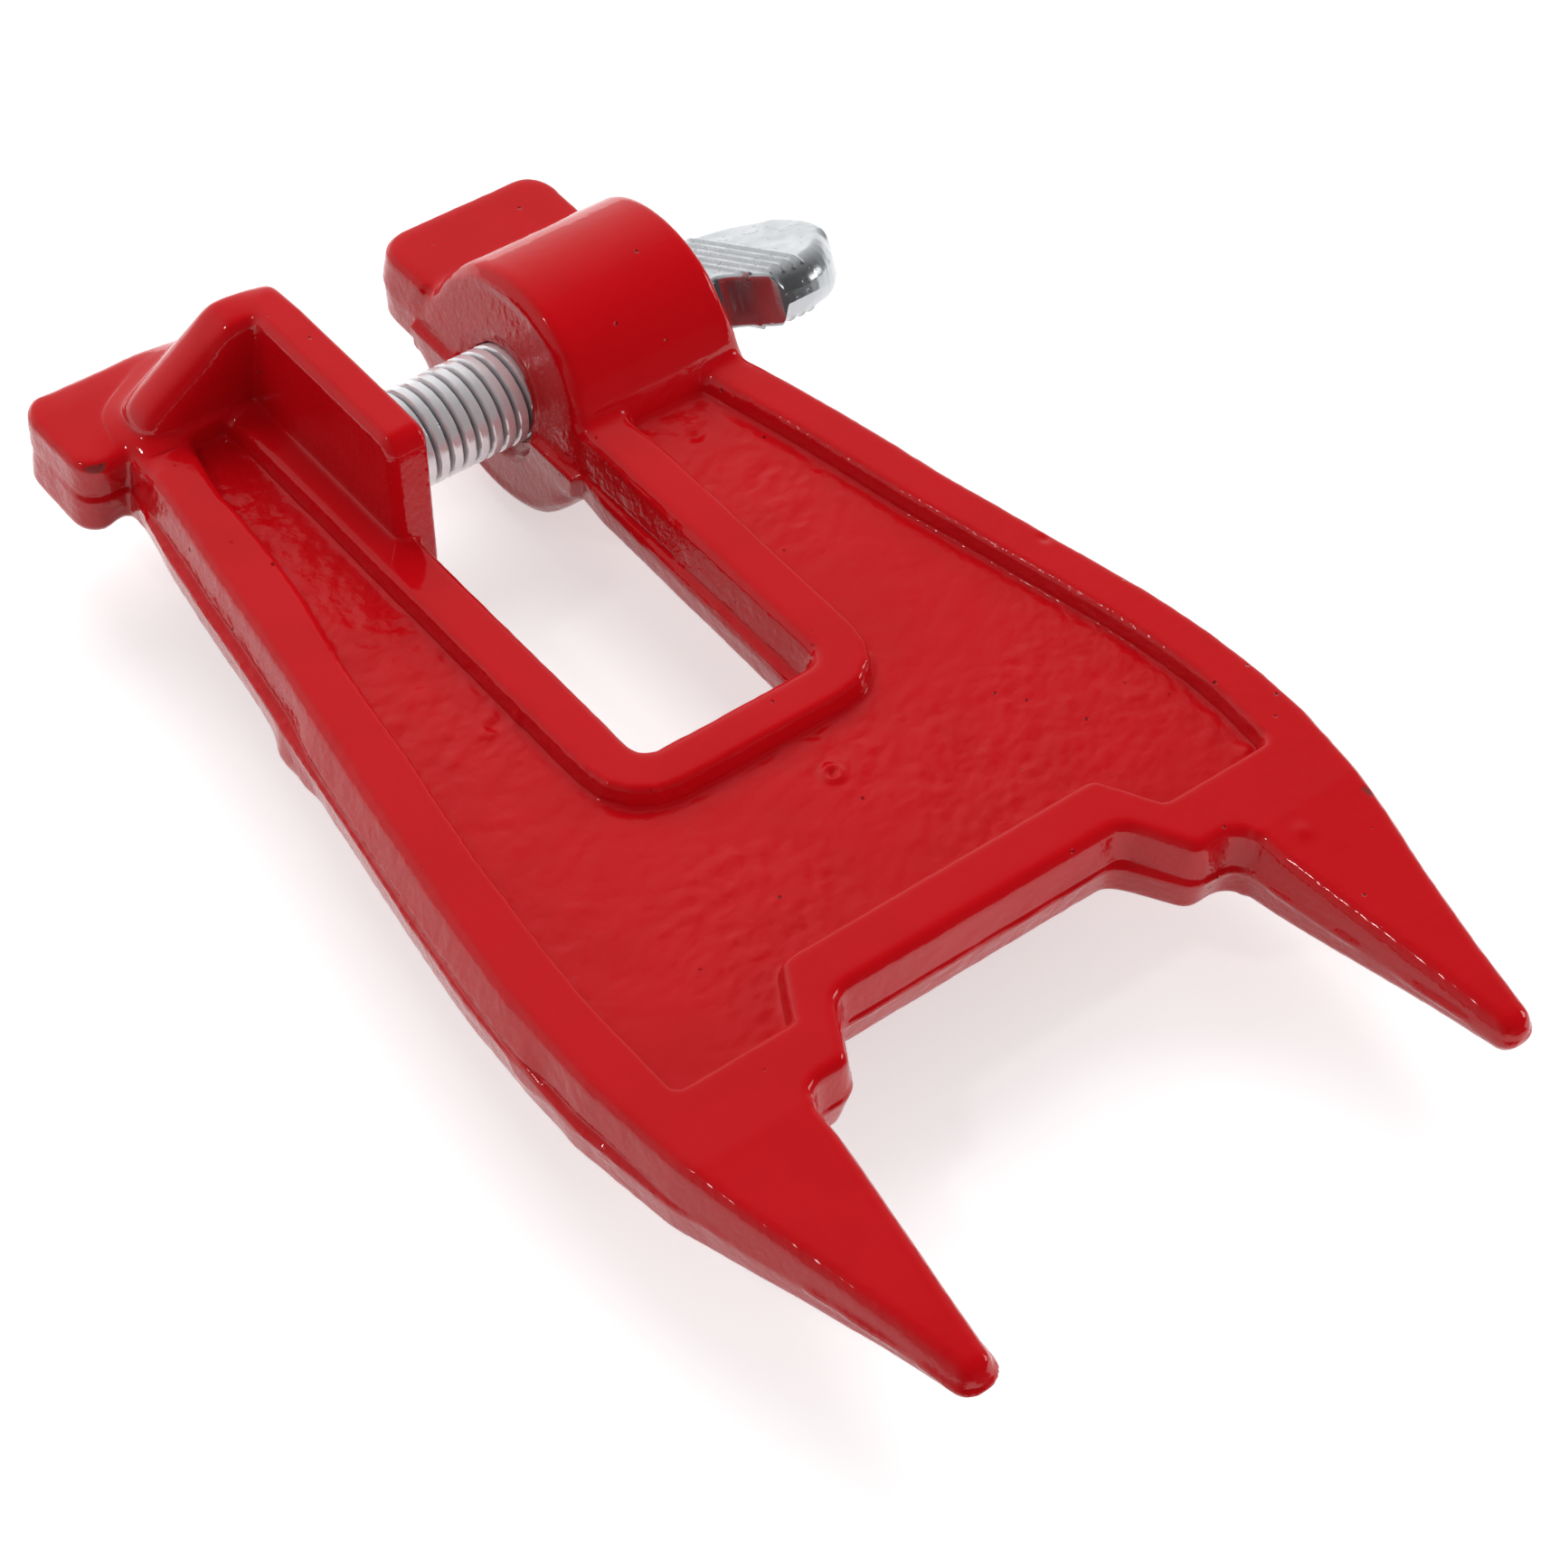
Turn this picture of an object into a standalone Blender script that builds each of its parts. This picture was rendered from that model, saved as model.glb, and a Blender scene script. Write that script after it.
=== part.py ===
"""Stump filing vise: a one-piece casting with a fixed jaw, and a wing screw with a swivel pad.

The casting lies flat. X runs along the clamping screw, out through the boss to the wing.
Y runs along the body, from the spike tips up to the striking ends of the two arms.
Z is the way the mould opens. Everything is in metres.
"""

import math

import bmesh
import bpy
from mathutils import Vector

# Casting, seen from above.
BODY_WIDTH = 0.1004            # widest place of each mould half, at the parting line
SEAT_TO_ENDS = 0.1258          # stump seat to the striking ends of the arms
SPIKE_REACH = 0.0450           # stump seat to the spike tips
SPIKE_TIP_WIDTH = 0.0044
SPIKE_TIP_RADIUS = 0.0021
SEAT_WIDTH = 0.0404            # straight edge that meets the stump
FOOT_DROP = 0.0078             # how far the two feet stand below the seat
FOOT_SLANT = 0.0046            # how far the slanting edge runs sideways to the foot
FOOT_RADIUS = 0.0027
SLOT_WIDTH = 0.0247            # gap between the arms, at the parting line
SLOT_SHIFT = 0.0036            # the slot lies this far to the left of the middle
SLOT_FLOOR = 0.0398            # stump seat to the closed end of the slot
SLOT_CORNER_RADIUS = 0.0018
LEFT_END_REACH = 0.0421        # middle line to the outside of the left end block
RIGHT_END_REACH = 0.0342
END_CORNER_RADIUS = 0.0042
LIP_LENGTH = 0.0147            # the left end block's lip, measured along the arm
LIP_RADIUS = 0.0042
WAIST_REACH = 0.0360           # middle line to the narrow place under the lip
WAIST_RADIUS = 0.0018

# Casting, through its thickness.
RIM_THICKNESS = 0.0103
WEB_THICKNESS = 0.0049
SPIKE_TIP_THICKNESS = 0.0042
SIDE_DRAFT = 0.0009            # how far a side leans in from the parting line to the face
EDGE_ROUND = 0.0010
SPIKE_TIP_ROUND = 0.0015       # the edges grow rounder along the spikes
MOULD_SHIFT_X = -0.0010         # the lower mould half stands this far out of line
MOULD_SHIFT_Y = -0.0004
PARTING_BAND = 0.0003          # height over which the two halves run into each other
POCKET_DRAFT = 0.0007

# Recessed pocket between the rims.
SLOT_SIDE_RIM = 0.0068
SLOT_END_RIM = 0.0060
RIGHT_RIM = 0.0067
SEAT_RIM = 0.0072
FOOT_RIM = 0.0077
SPIKE_SIDE_RIM = 0.0073
POCKET_SLOT_RADIUS = 0.0075    # the pocket's sweep round the slot's corners
POCKET_CORNER_RADIUS = 0.0016
POCKET_LEFT_END = 0.1108       # stump seat to the pocket's end, at the buttress
POCKET_LEFT_END_WIDTH = 0.0064

# Fixed jaw and its buttress.
SCREW_LINE = 0.0991            # stump seat to the screw's axis
JAW_HEIGHT = 0.0374
JAW_LENGTH = 0.0316            # along the body, at the jaw's top
JAW_DRAFT = 0.0030             # each end of the jaw leans out this much down to the parting line
JAW_PROUD = 0.0024             # jaw face stands this far into the slot
JAW_THICKNESS = 0.0054
JAW_CORNER_RADIUS = 0.0028
JAW_EDGE_ROUND = 0.0008
BUTTRESS_TOP_WIDTH = 0.0026
BUTTRESS_FOOT_REACH = 0.0152   # from the jaw's back, along the end block
BUTTRESS_NEAR_WIDTH = 0.0050
BUTTRESS_FAR_WIDTH = 0.0118
BUTTRESS_FAR_OVERHANG = 0.0005 # the crest's far edge stands this far past the jaw's end
BUTTRESS_NOSE_HEIGHT = 0.0026
BUTTRESS_SINK = 0.0012         # how deep it roots in the end block

# Threaded boss.
BOSS_RADIUS = 0.0158
BOSS_PAST_ARM = 0.0000618       # boss end stands this far past the arm's outer side
BOSS_PROUD = 0.0001            # boss face stands this far past the slot's wall
BOSS_FACE_DRAFT = 0.0018       # each end face leans in this much from axis to rim
BOSS_EDGE_ROUND = 0.0008
BOSS_SIDES = 40
BORE_SIDES = 32

# Clamping screw.
THREAD_RADIUS = 0.00635        # half an inch over the crests
THREAD_PITCH = 0.001954        # thirteen threads to the inch
THREAD_DEPTH = 0.00120
THREAD_CREST_SHARE = 0.125      # of the pitch
THREAD_ROOT_SHARE = 0.25
THREAD_SIDES = 18
THREAD_CLEARANCE = 0.0003      # crests to the bore's wall
STEM_START = 0.0049            # jaw face to the end of the thread, at rest
STEM_CHAMFER = 0.0009
SPIGOT_RADIUS = 0.0022         # plain end of the stem, which the wing is cast on
SPIGOT_LENGTH = 0.0095
NECK_RADIUS = 0.0026
BUTTON_RADIUS = 0.0037
BUTTON_THICKNESS = 0.0014
ROUND_SIDES = 28

# Swivel pad on the screw's nose.
PAD_RADIUS = 0.0070
PAD_THICKNESS = 0.0042
PAD_LIP = 0.0009               # rolled lip that keeps the button in
PAD_GAP = 0.0005               # pad face to jaw face, at rest
PAD_CHAMFER = 0.0006
PLAY = 0.0003                  # running clearance between the pad and the screw

# Wing.
WING_GAP = 0.0009              # boss to the wing's hub, at rest
WING_LENGTH = 0.0219
WING_SPAN = 0.0284
WING_THICKNESS = 0.0070
WING_EDGE_ROUND = 0.0006
WING_HUB_RADIUS = 0.0068
WING_HUB_LENGTH = 0.0020
WING_HUB_TAPER = 0.0030
WING_HUB_NOSE_RADIUS = 0.0032
WING_GRIP_COUNT = 5
WING_GRIP_START = 0.0058       # hub's face to the first grip ridge
WING_GRIP_SPACING = 0.0015
WING_GRIP_WIDTH = 0.0006
WING_GRIP_HEIGHT = 0.0004
WING_REST_ANGLE = math.radians(-30)
SEAT_CLEARANCE = 0.0003        # between the stem and the wing's hub, end and sides

OVERRUN = 0.0010               # how far every cutter runs past what it cuts

# Two points nearer than this are one point.
MERGE_DISTANCE = 1e-7

# Outlines. Each pair is (share of the length along Y, share of half the body's width).
LEFT_FLANK_SHARES = [(0.870, 0.723), (0.779, 0.756), (0.714, 0.783), (0.647, 0.807), (0.543, 0.848),
                     (0.431, 0.894), (0.320, 0.939), (0.216, 0.975), (0.134, 0.994), (0.052, 1.000)]
RIGHT_FLANK_SHARES = [(0.662, 0.691), (0.580, 0.746), (0.506, 0.787), (0.435, 0.823), (0.361, 0.869),
                      (0.309, 0.900), (0.258, 0.932), (0.178, 0.976), (0.094, 1.000), (0.010, 0.999)]
SPIKE_OUTER_SHARES = [(0.164, 0.976), (0.328, 0.944), (0.512, 0.900), (0.758, 0.849)]
SPIKE_INNER_SHARES = [(0.300, 0.624), (0.441, 0.643), (0.635, 0.672), (0.758, 0.690)]
SPIKE_ROOT_SHARE = 0.618
SPIKE_TIP_SHARE = 0.764
SPIKE_TAPER_SHARE = 0.205
SHIFT_END_SHARE = 0.270
SHIFT_ARM_SHARES = (0.80, 0.93)
POCKET_LEFT_SHARES = [(0.793, 0.627), (0.717, 0.637), (0.639, 0.663), (0.547, 0.711), (0.436, 0.750),
                      (0.355, 0.786), (0.296, 0.808), (0.203, 0.835), (0.123, 0.854)]
# Pairs of (share of the wing's length, share of half its span).
WING_OUTLINE_SHARES = [(0.10, 0.44), (0.163, 0.42), (0.213, 0.55), (0.255, 0.755), (0.297, 0.91),
                       (0.347, 0.975), (0.456, 1.0), (0.573, 0.98), (0.686, 0.905), (0.787, 0.775),
                       (0.875, 0.60), (0.95, 0.385), (0.99, 0.165)]

# Worked out from the sizes above.
HALF_WIDTH = BODY_WIDTH / 2
HALF_RIM = RIM_THICKNESS / 2
SLOT_LEFT = -SLOT_SHIFT - SLOT_WIDTH / 2
SLOT_RIGHT = -SLOT_SHIFT + SLOT_WIDTH / 2
JAW_FACE = SLOT_LEFT + JAW_PROUD
JAW_BACK = JAW_FACE - JAW_THICKNESS
BOSS_START = SLOT_RIGHT - BOSS_PROUD
BOSS_END = max(HALF_WIDTH * RIGHT_FLANK_SHARES[0][1], RIGHT_END_REACH) + BOSS_PAST_ARM
BORE_RADIUS = THREAD_RADIUS + THREAD_CLEARANCE
TAPER_LINE = -SPIKE_REACH * SPIKE_TAPER_SHARE
WING_START = BOSS_END + WING_GAP
STEM_NOSE = JAW_FACE + STEM_START
THREAD_FLANK_SHARE = (1 - THREAD_CREST_SHARE - THREAD_ROOT_SHARE) / 2


def flank(shares, length, side):
    """Turn pairs of shares into points on one side of the body, smoothed into a curve."""
    points = [Vector((side * across * HALF_WIDTH, along * length)) for along, across in shares]
    return smooth_path(points)


def smooth_path(points, steps=3):
    """Run a curve through the points, with a few more points between each pair."""
    path = []
    for index in range(len(points) - 1):
        before = points[max(index - 1, 0)]
        start, end = points[index], points[index + 1]
        after = points[min(index + 2, len(points) - 1)]
        for step in range(steps):
            t = step / steps
            path.append(0.5 * ((2 * start) + (end - before) * t
                               + (2 * before - 5 * start + 4 * end - after) * t ** 2
                               + (3 * start - before - 3 * end + after) * t ** 3))
    path.append(points[-1])
    return path


def fillet(corners, steps=5):
    """Round the corners of a closed outline. Each corner is (x, y, radius)."""
    outline = []
    for index, (x, y, radius) in enumerate(corners):
        corner = Vector((x, y))
        if radius == 0:
            outline.append(corner)
            continue
        back = Vector(corners[index - 1][:2]) - corner
        ahead = Vector(corners[(index + 1) % len(corners)][:2]) - corner
        back_length, ahead_length = back.length, ahead.length
        back.normalize()
        ahead.normalize()
        half_angle = back.angle(ahead) / 2
        setback = min(radius / math.tan(half_angle), back_length * 0.49, ahead_length * 0.49)
        radius = setback * math.tan(half_angle)
        centre = corner + (back + ahead).normalized() * (radius / math.sin(half_angle))
        start = corner + back * setback - centre
        end = corner + ahead * setback - centre
        sweep = start.angle_signed(end)
        for step in range(steps + 1):
            turn = -sweep * step / steps
            outline.append(centre + Vector((start.x * math.cos(turn) - start.y * math.sin(turn),
                                            start.x * math.sin(turn) + start.y * math.cos(turn))))
    return outline


def inset(outline, distances):
    """Move each point of an anticlockwise outline inwards by its own distance."""
    moved = []
    for index, point in enumerate(outline):
        before = (point - outline[index - 1]).normalized()
        after = (outline[(index + 1) % len(outline)] - point).normalized()
        normal = Vector((-before.y - after.y, before.x + after.x)).normalized()
        lean = max(normal.dot(Vector((-after.y, after.x))), 0.5)
        moved.append(point + normal * (distances[index] / lean))
    return moved


def plain(points):
    """Corners with no rounding, for a stretch that is a curve already."""
    return [(point.x, point.y, 0) for point in points]


def make_material(name, colour, metallic, roughness, coat=0.0):
    material = bpy.data.materials.new(name)
    material.use_nodes = True
    shader = material.node_tree.nodes["Principled BSDF"]
    shader.inputs["Base Color"].default_value = (*colour, 1.0)
    shader.inputs["Metallic"].default_value = metallic
    shader.inputs["Roughness"].default_value = roughness
    shader.inputs["Coat Weight"].default_value = coat
    return material


def add_object(name, mesh_data, material=None, parent=None, smooth_angle=35):
    """Make an object from a bmesh, put it in the scene and hang it on its parent."""
    bmesh.ops.remove_doubles(mesh_data, verts=mesh_data.verts, dist=MERGE_DISTANCE)
    bmesh.ops.dissolve_degenerate(mesh_data, edges=mesh_data.edges, dist=MERGE_DISTANCE)
    bmesh.ops.recalc_face_normals(mesh_data, faces=mesh_data.faces)
    mesh = bpy.data.meshes.new(name)
    mesh_data.to_mesh(mesh)
    mesh_data.free()
    mesh.shade_smooth()
    mesh.set_sharp_from_angle(angle=math.radians(smooth_angle))
    if material:
        mesh.materials.append(material)
    obj = bpy.data.objects.new(name, mesh)
    bpy.context.scene.collection.objects.link(obj)
    obj.parent = parent
    return obj


def add_tool(name, mesh_data, parent):
    """A shape that is only added to, or cut from, another piece."""
    obj = add_object(name, mesh_data, parent=parent)
    obj.hide_render = True
    obj.display_type = "WIRE"
    return obj


def combine(target, tool, operation):
    modifier = target.modifiers.new(f"{operation.lower()} {tool.name}", "BOOLEAN")
    modifier.operation = operation
    modifier.solver = "EXACT"
    modifier.object = tool


def skin(mesh_data, rings, start_caps=None, end_caps=None):
    """Join closed rings of points one after another, and close both ends.

    A cap is one face over the whole ring, or several lists of places in the ring.
    """
    layers = [[mesh_data.verts.new(point) for point in ring] for ring in rings]
    count = len(layers[0])
    for lower, upper in zip(layers, layers[1:]):
        for index in range(count):
            following = (index + 1) % count
            mesh_data.faces.new((lower[index], lower[following], upper[following], upper[index]))
    whole = [list(range(count))]
    for cap in start_caps or whole:
        mesh_data.faces.new([layers[0][index] for index in reversed(cap)])
    for cap in end_caps or whole:
        mesh_data.faces.new([layers[-1][index] for index in cap])


def turned(profile, sides):
    """Turn a profile of (x, radius) pairs about the X axis. A radius of 0 closes an end."""
    mesh_data = bmesh.new()
    rings = []
    for x, radius in profile:
        if radius == 0:
            rings.append([mesh_data.verts.new((x, 0, 0))])
            continue
        ring = []
        for index in range(sides):
            angle = 2 * math.pi * index / sides
            ring.append(mesh_data.verts.new((x, radius * math.cos(angle), radius * math.sin(angle))))
        rings.append(ring)
    for lower, upper in zip(rings, rings[1:]):
        for index in range(sides):
            following = (index + 1) % sides
            corners = [lower[index % len(lower)], lower[following % len(lower)],
                       upper[following % len(upper)], upper[index % len(upper)]]
            unique = list(dict.fromkeys(corners))
            if len(unique) > 2:
                mesh_data.faces.new(unique)
    return mesh_data


# Casting.
def body_outline():
    """The casting's outline at the parting line, anticlockwise from the right spike."""
    tip_left = HALF_WIDTH * SPIKE_TIP_SHARE - SPIKE_TIP_WIDTH / 2
    tip_right = tip_left + SPIKE_TIP_WIDTH
    root = HALF_WIDTH * SPIKE_ROOT_SHARE
    seat_corner = SEAT_WIDTH / 2
    foot_corner = seat_corner + FOOT_SLANT

    def spike_side(shares, side):
        return flank(shares, -SPIKE_REACH, side)

    right_flank = flank(RIGHT_FLANK_SHARES, SEAT_TO_ENDS, 1)
    left_flank = flank(LEFT_FLANK_SHARES, SEAT_TO_ENDS, -1)
    corners = [(tip_left, -SPIKE_REACH, SPIKE_TIP_RADIUS), (tip_right, -SPIKE_REACH, SPIKE_TIP_RADIUS)]
    corners += plain(reversed(spike_side(SPIKE_OUTER_SHARES, 1)))
    corners += plain(reversed(right_flank))
    corners += [(RIGHT_END_REACH, SEAT_TO_ENDS, END_CORNER_RADIUS),
                (SLOT_RIGHT, SEAT_TO_ENDS, END_CORNER_RADIUS),
                (SLOT_RIGHT, SLOT_FLOOR, SLOT_CORNER_RADIUS),
                (SLOT_LEFT, SLOT_FLOOR, SLOT_CORNER_RADIUS),
                (SLOT_LEFT, SEAT_TO_ENDS, END_CORNER_RADIUS),
                (-LEFT_END_REACH, SEAT_TO_ENDS, END_CORNER_RADIUS),
                (-LEFT_END_REACH, SEAT_TO_ENDS - LIP_LENGTH, LIP_RADIUS),
                (-WAIST_REACH, SEAT_TO_ENDS - LIP_LENGTH, WAIST_RADIUS)]
    corners += plain(left_flank)
    corners += plain(spike_side(SPIKE_OUTER_SHARES, -1))
    corners += [(-tip_right, -SPIKE_REACH, SPIKE_TIP_RADIUS), (-tip_left, -SPIKE_REACH, SPIKE_TIP_RADIUS)]
    corners += plain(reversed(spike_side(SPIKE_INNER_SHARES, -1)))
    corners += [(-root, -FOOT_DROP, FOOT_RADIUS), (-foot_corner, -FOOT_DROP, FOOT_RADIUS),
                (-seat_corner, 0, FOOT_RADIUS), (seat_corner, 0, FOOT_RADIUS),
                (foot_corner, -FOOT_DROP, FOOT_RADIUS), (root, -FOOT_DROP, FOOT_RADIUS)]
    corners += plain(spike_side(SPIKE_INNER_SHARES, 1))
    return with_taper_points(fillet(corners))


def with_taper_points(outline):
    """Add a point wherever the outline crosses the line at which the spikes start to thin."""
    points = []
    for index, point in enumerate(outline):
        points.append(point)
        ahead = outline[(index + 1) % len(outline)]
        if (point.y - TAPER_LINE) * (ahead.y - TAPER_LINE) < 0:
            share = (TAPER_LINE - point.y) / (ahead.y - point.y)
            points.append(point.lerp(ahead, share))
    return points


def taper_share(y):
    """How far along a spike a point lies, from where it starts to thin to its tip."""
    return max((TAPER_LINE - y) / (TAPER_LINE + SPIKE_REACH), 0)


def half_thickness(y):
    """Half the rim's thickness, which falls away evenly along the spikes."""
    return HALF_RIM + (SPIKE_TIP_THICKNESS / 2 - HALF_RIM) * taper_share(y)


def edge_round(y):
    return EDGE_ROUND + (SPIKE_TIP_ROUND - EDGE_ROUND) * taper_share(y)


def shift_share(y):
    """How much of the mould's sideways shift is left: it runs out along the spikes and the arms."""
    flush = -SPIKE_REACH * SHIFT_END_SHARE
    full, gone = [share * SEAT_TO_ENDS for share in SHIFT_ARM_SHARES]
    return min(max((y - flush) / -flush, 0), 1, max((gone - y) / (gone - full), 0))


def casting_ring(outline, distances, height_at):
    """One ring of the casting. Points on the taper line stay on it, so that the faces there are flat."""
    ring = []
    for start, point in zip(outline, inset(outline, distances)):
        y = start.y if abs(start.y - TAPER_LINE) < MERGE_DISTANCE else point.y
        ring.append(Vector((point.x, y, height_at(y))))
    return ring


def casting_rings(outline):
    """Rings from the bottom face up to the top face, drafted, with rounded edges."""
    slope = SIDE_DRAFT / HALF_RIM
    band_top = PARTING_BAND / 2
    upper = [casting_ring(outline, [slope * band_top] * len(outline), lambda y: band_top)]
    arc_steps = 2
    for level in range(arc_steps + 1):
        turn = math.pi / 2 * level / arc_steps
        distances = []
        for point in outline:
            radius = edge_round(point.y)
            distances.append(slope * (half_thickness(point.y) - radius) + radius * (1 - math.cos(turn)))
        upper.append(casting_ring(outline, distances,
                                  lambda y: half_thickness(y) - edge_round(y) * (1 - math.sin(turn))))
    lower = [[Vector((point.x + MOULD_SHIFT_X * shift_share(point.y), point.y + MOULD_SHIFT_Y, -point.z))
              for point in ring] for ring in upper]
    return list(reversed(lower)) + upper


def cap_parts(outline):
    """Split the faces along the taper line, so that each part is flat."""
    line = [index for index, point in enumerate(outline) if abs(point.y - TAPER_LINE) < MERGE_DISTANCE]
    parts = []
    count = len(outline)
    for place, start in enumerate(line):
        end = line[(place + 1) % len(line)]
        stretch = [(start + step) % count for step in range((end - start) % count + 1)]
        if outline[stretch[len(stretch) // 2]].y < TAPER_LINE:
            parts.append(stretch)
    spike_points = {index for part in parts for index in part[1:-1]}
    main = [index for index in range(count) if index not in spike_points]
    return [main] + parts


def pocket_outline():
    """The recess between the rims, anticlockwise, as it meets the face."""
    right_flank = [point - Vector((RIGHT_RIM, 0)) for point in flank(RIGHT_FLANK_SHARES, SEAT_TO_ENDS, 1)]
    left_flank = flank(POCKET_LEFT_SHARES, SEAT_TO_ENDS, -1)
    inner_left = SLOT_LEFT - SLOT_SIDE_RIM
    inner_right = SLOT_RIGHT + SLOT_SIDE_RIM
    inner_end = SLOT_FLOOR - SLOT_END_RIM
    side = HALF_WIDTH - SPIKE_SIDE_RIM
    floor = FOOT_RIM - FOOT_DROP
    slant_top = SEAT_WIDTH / 2 + FOOT_SLANT * SEAT_RIM / FOOT_DROP - FOOT_SLANT / 2
    slant_foot = slant_top + FOOT_SLANT * (SEAT_RIM - floor) / FOOT_DROP
    corners = [(-side, floor, POCKET_CORNER_RADIUS), (-slant_foot, floor, POCKET_CORNER_RADIUS),
               (-slant_top, SEAT_RIM, POCKET_CORNER_RADIUS), (slant_top, SEAT_RIM, POCKET_CORNER_RADIUS),
               (slant_foot, floor, POCKET_CORNER_RADIUS), (side, floor, POCKET_CORNER_RADIUS)]
    corners += plain(reversed(right_flank[:-2]))
    corners += [(right_flank[0].x, SCREW_LINE, 0), (inner_right, SCREW_LINE, 0),
                (inner_right, inner_end, POCKET_SLOT_RADIUS), (inner_left, inner_end, POCKET_SLOT_RADIUS),
                (inner_left, POCKET_LEFT_END, POCKET_CORNER_RADIUS),
                (inner_left - POCKET_LEFT_END_WIDTH, POCKET_LEFT_END, POCKET_CORNER_RADIUS)]
    corners += plain(left_flank)
    return fillet(corners, steps=4)


def pocket_tool(name, side, parent):
    """Cutter for the recess on one face: side is 1 for the top and -1 for the bottom."""
    shift = Vector((MOULD_SHIFT_X, MOULD_SHIFT_Y)) if side == -1 else Vector((0, 0))
    outline = [point + shift for point in pocket_outline()]
    floor = WEB_THICKNESS / 2
    depth = HALF_RIM - floor
    rings = []
    for height in (floor, HALF_RIM, HALF_RIM + OVERRUN):
        lean = POCKET_DRAFT * (HALF_RIM - height) / depth
        ring = inset(outline, [lean] * len(outline))
        rings.append([Vector((point.x, point.y, side * height)) for point in ring])
    mesh_data = bmesh.new()
    skin(mesh_data, rings)
    return add_tool(name, mesh_data, parent)


def jaw_tool(parent):
    """Fixed jaw: a plate across the screw's line, with rounded corners."""
    top = JAW_HEIGHT / 2
    reach = JAW_LENGTH / 2
    foot = reach + JAW_DRAFT
    corners = [(foot, 0, 0), (reach, top, JAW_CORNER_RADIUS), (-reach, top, JAW_CORNER_RADIUS),
               (-foot, 0, 0), (-reach, -top, JAW_CORNER_RADIUS), (reach, -top, JAW_CORNER_RADIUS)]
    outline = fillet(corners)
    slices = [(JAW_BACK, JAW_EDGE_ROUND), (JAW_BACK + JAW_EDGE_ROUND, 0),
              (JAW_FACE - JAW_EDGE_ROUND, 0), (JAW_FACE, JAW_EDGE_ROUND)]
    rings = []
    for x, distance in slices:
        ring = inset(outline, [distance] * len(outline))
        rings.append([Vector((x, SCREW_LINE + point.x, point.y)) for point in ring])
    mesh_data = bmesh.new()
    skin(mesh_data, rings)
    return add_tool("jaw_shape", mesh_data, parent)


def buttress_tool(name, side, parent):
    """Sloping web that holds the jaw's far end up from the end block, on one face."""
    top = JAW_HEIGHT / 2 - JAW_EDGE_ROUND / 2
    root = HALF_RIM - BUTTRESS_SINK
    near = POCKET_LEFT_END
    far = SEAT_TO_ENDS - SIDE_DRAFT - EDGE_ROUND
    front = JAW_FACE - JAW_THICKNESS / 2
    heel = JAW_BACK - BUTTRESS_FOOT_REACH
    crest_near = SCREW_LINE + JAW_LENGTH / 2 - BUTTRESS_NEAR_WIDTH
    crest_far = SCREW_LINE + JAW_LENGTH / 2 + BUTTRESS_FAR_OVERHANG
    shoulder = JAW_BACK - BUTTRESS_TOP_WIDTH
    nose = HALF_RIM + BUTTRESS_NOSE_HEIGHT
    points = [(front, crest_near, top), (front, crest_far - JAW_EDGE_ROUND, top),
              (shoulder, crest_near + JAW_EDGE_ROUND, top - JAW_EDGE_ROUND / 2),
              (shoulder, crest_far, top - JAW_EDGE_ROUND / 4),
              (heel, near, nose), (heel, near + BUTTRESS_NEAR_WIDTH, nose),
              (front, near, root), (heel, near, root),
              (heel, near + BUTTRESS_NEAR_WIDTH, root),
              (heel + BUTTRESS_TOP_WIDTH, near + BUTTRESS_FAR_WIDTH * 2 / 3, root),
              (shoulder, far, root), (front, far, root)]
    mesh_data = bmesh.new()
    for x, y, z in points:
        mesh_data.verts.new((x, y, side * z))
    bmesh.ops.convex_hull(mesh_data, input=mesh_data.verts)
    return add_tool(name, mesh_data, parent)


def boss_tool(parent):
    """Round boss across the right arm, its end faces leaning in from the parting line."""
    slices = [(BOSS_START, BOSS_RADIUS - BOSS_EDGE_ROUND, 1), (BOSS_START + BOSS_EDGE_ROUND, BOSS_RADIUS, 1),
              (BOSS_END - BOSS_EDGE_ROUND, BOSS_RADIUS, -1), (BOSS_END, BOSS_RADIUS - BOSS_EDGE_ROUND, -1)]
    rings = []
    for x, radius, lean in slices:
        ring = []
        for index in range(BOSS_SIDES):
            angle = 2 * math.pi * index / BOSS_SIDES
            y, z = radius * math.cos(angle), radius * math.sin(angle)
            shift = lean * BOSS_FACE_DRAFT * abs(z) / BOSS_RADIUS
            ring.append(Vector((x + shift, SCREW_LINE + y, z)))
        rings.append(ring)
    half = BOSS_SIDES // 2
    halves = [list(range(half + 1)), list(range(half, BOSS_SIDES)) + [0]]
    mesh_data = bmesh.new()
    skin(mesh_data, rings, halves, halves)
    return add_tool("boss_shape", mesh_data, parent)


def bore_tool(parent):
    """Hole for the screw, right through the boss."""
    start, end = BOSS_START - OVERRUN, BOSS_END + OVERRUN
    mesh_data = turned([(start, 0), (start, BORE_RADIUS), (end, BORE_RADIUS), (end, 0)], BORE_SIDES)
    tool = add_tool("bore_shape", mesh_data, parent)
    tool.location = (0, SCREW_LINE, 0)
    return tool


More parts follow.
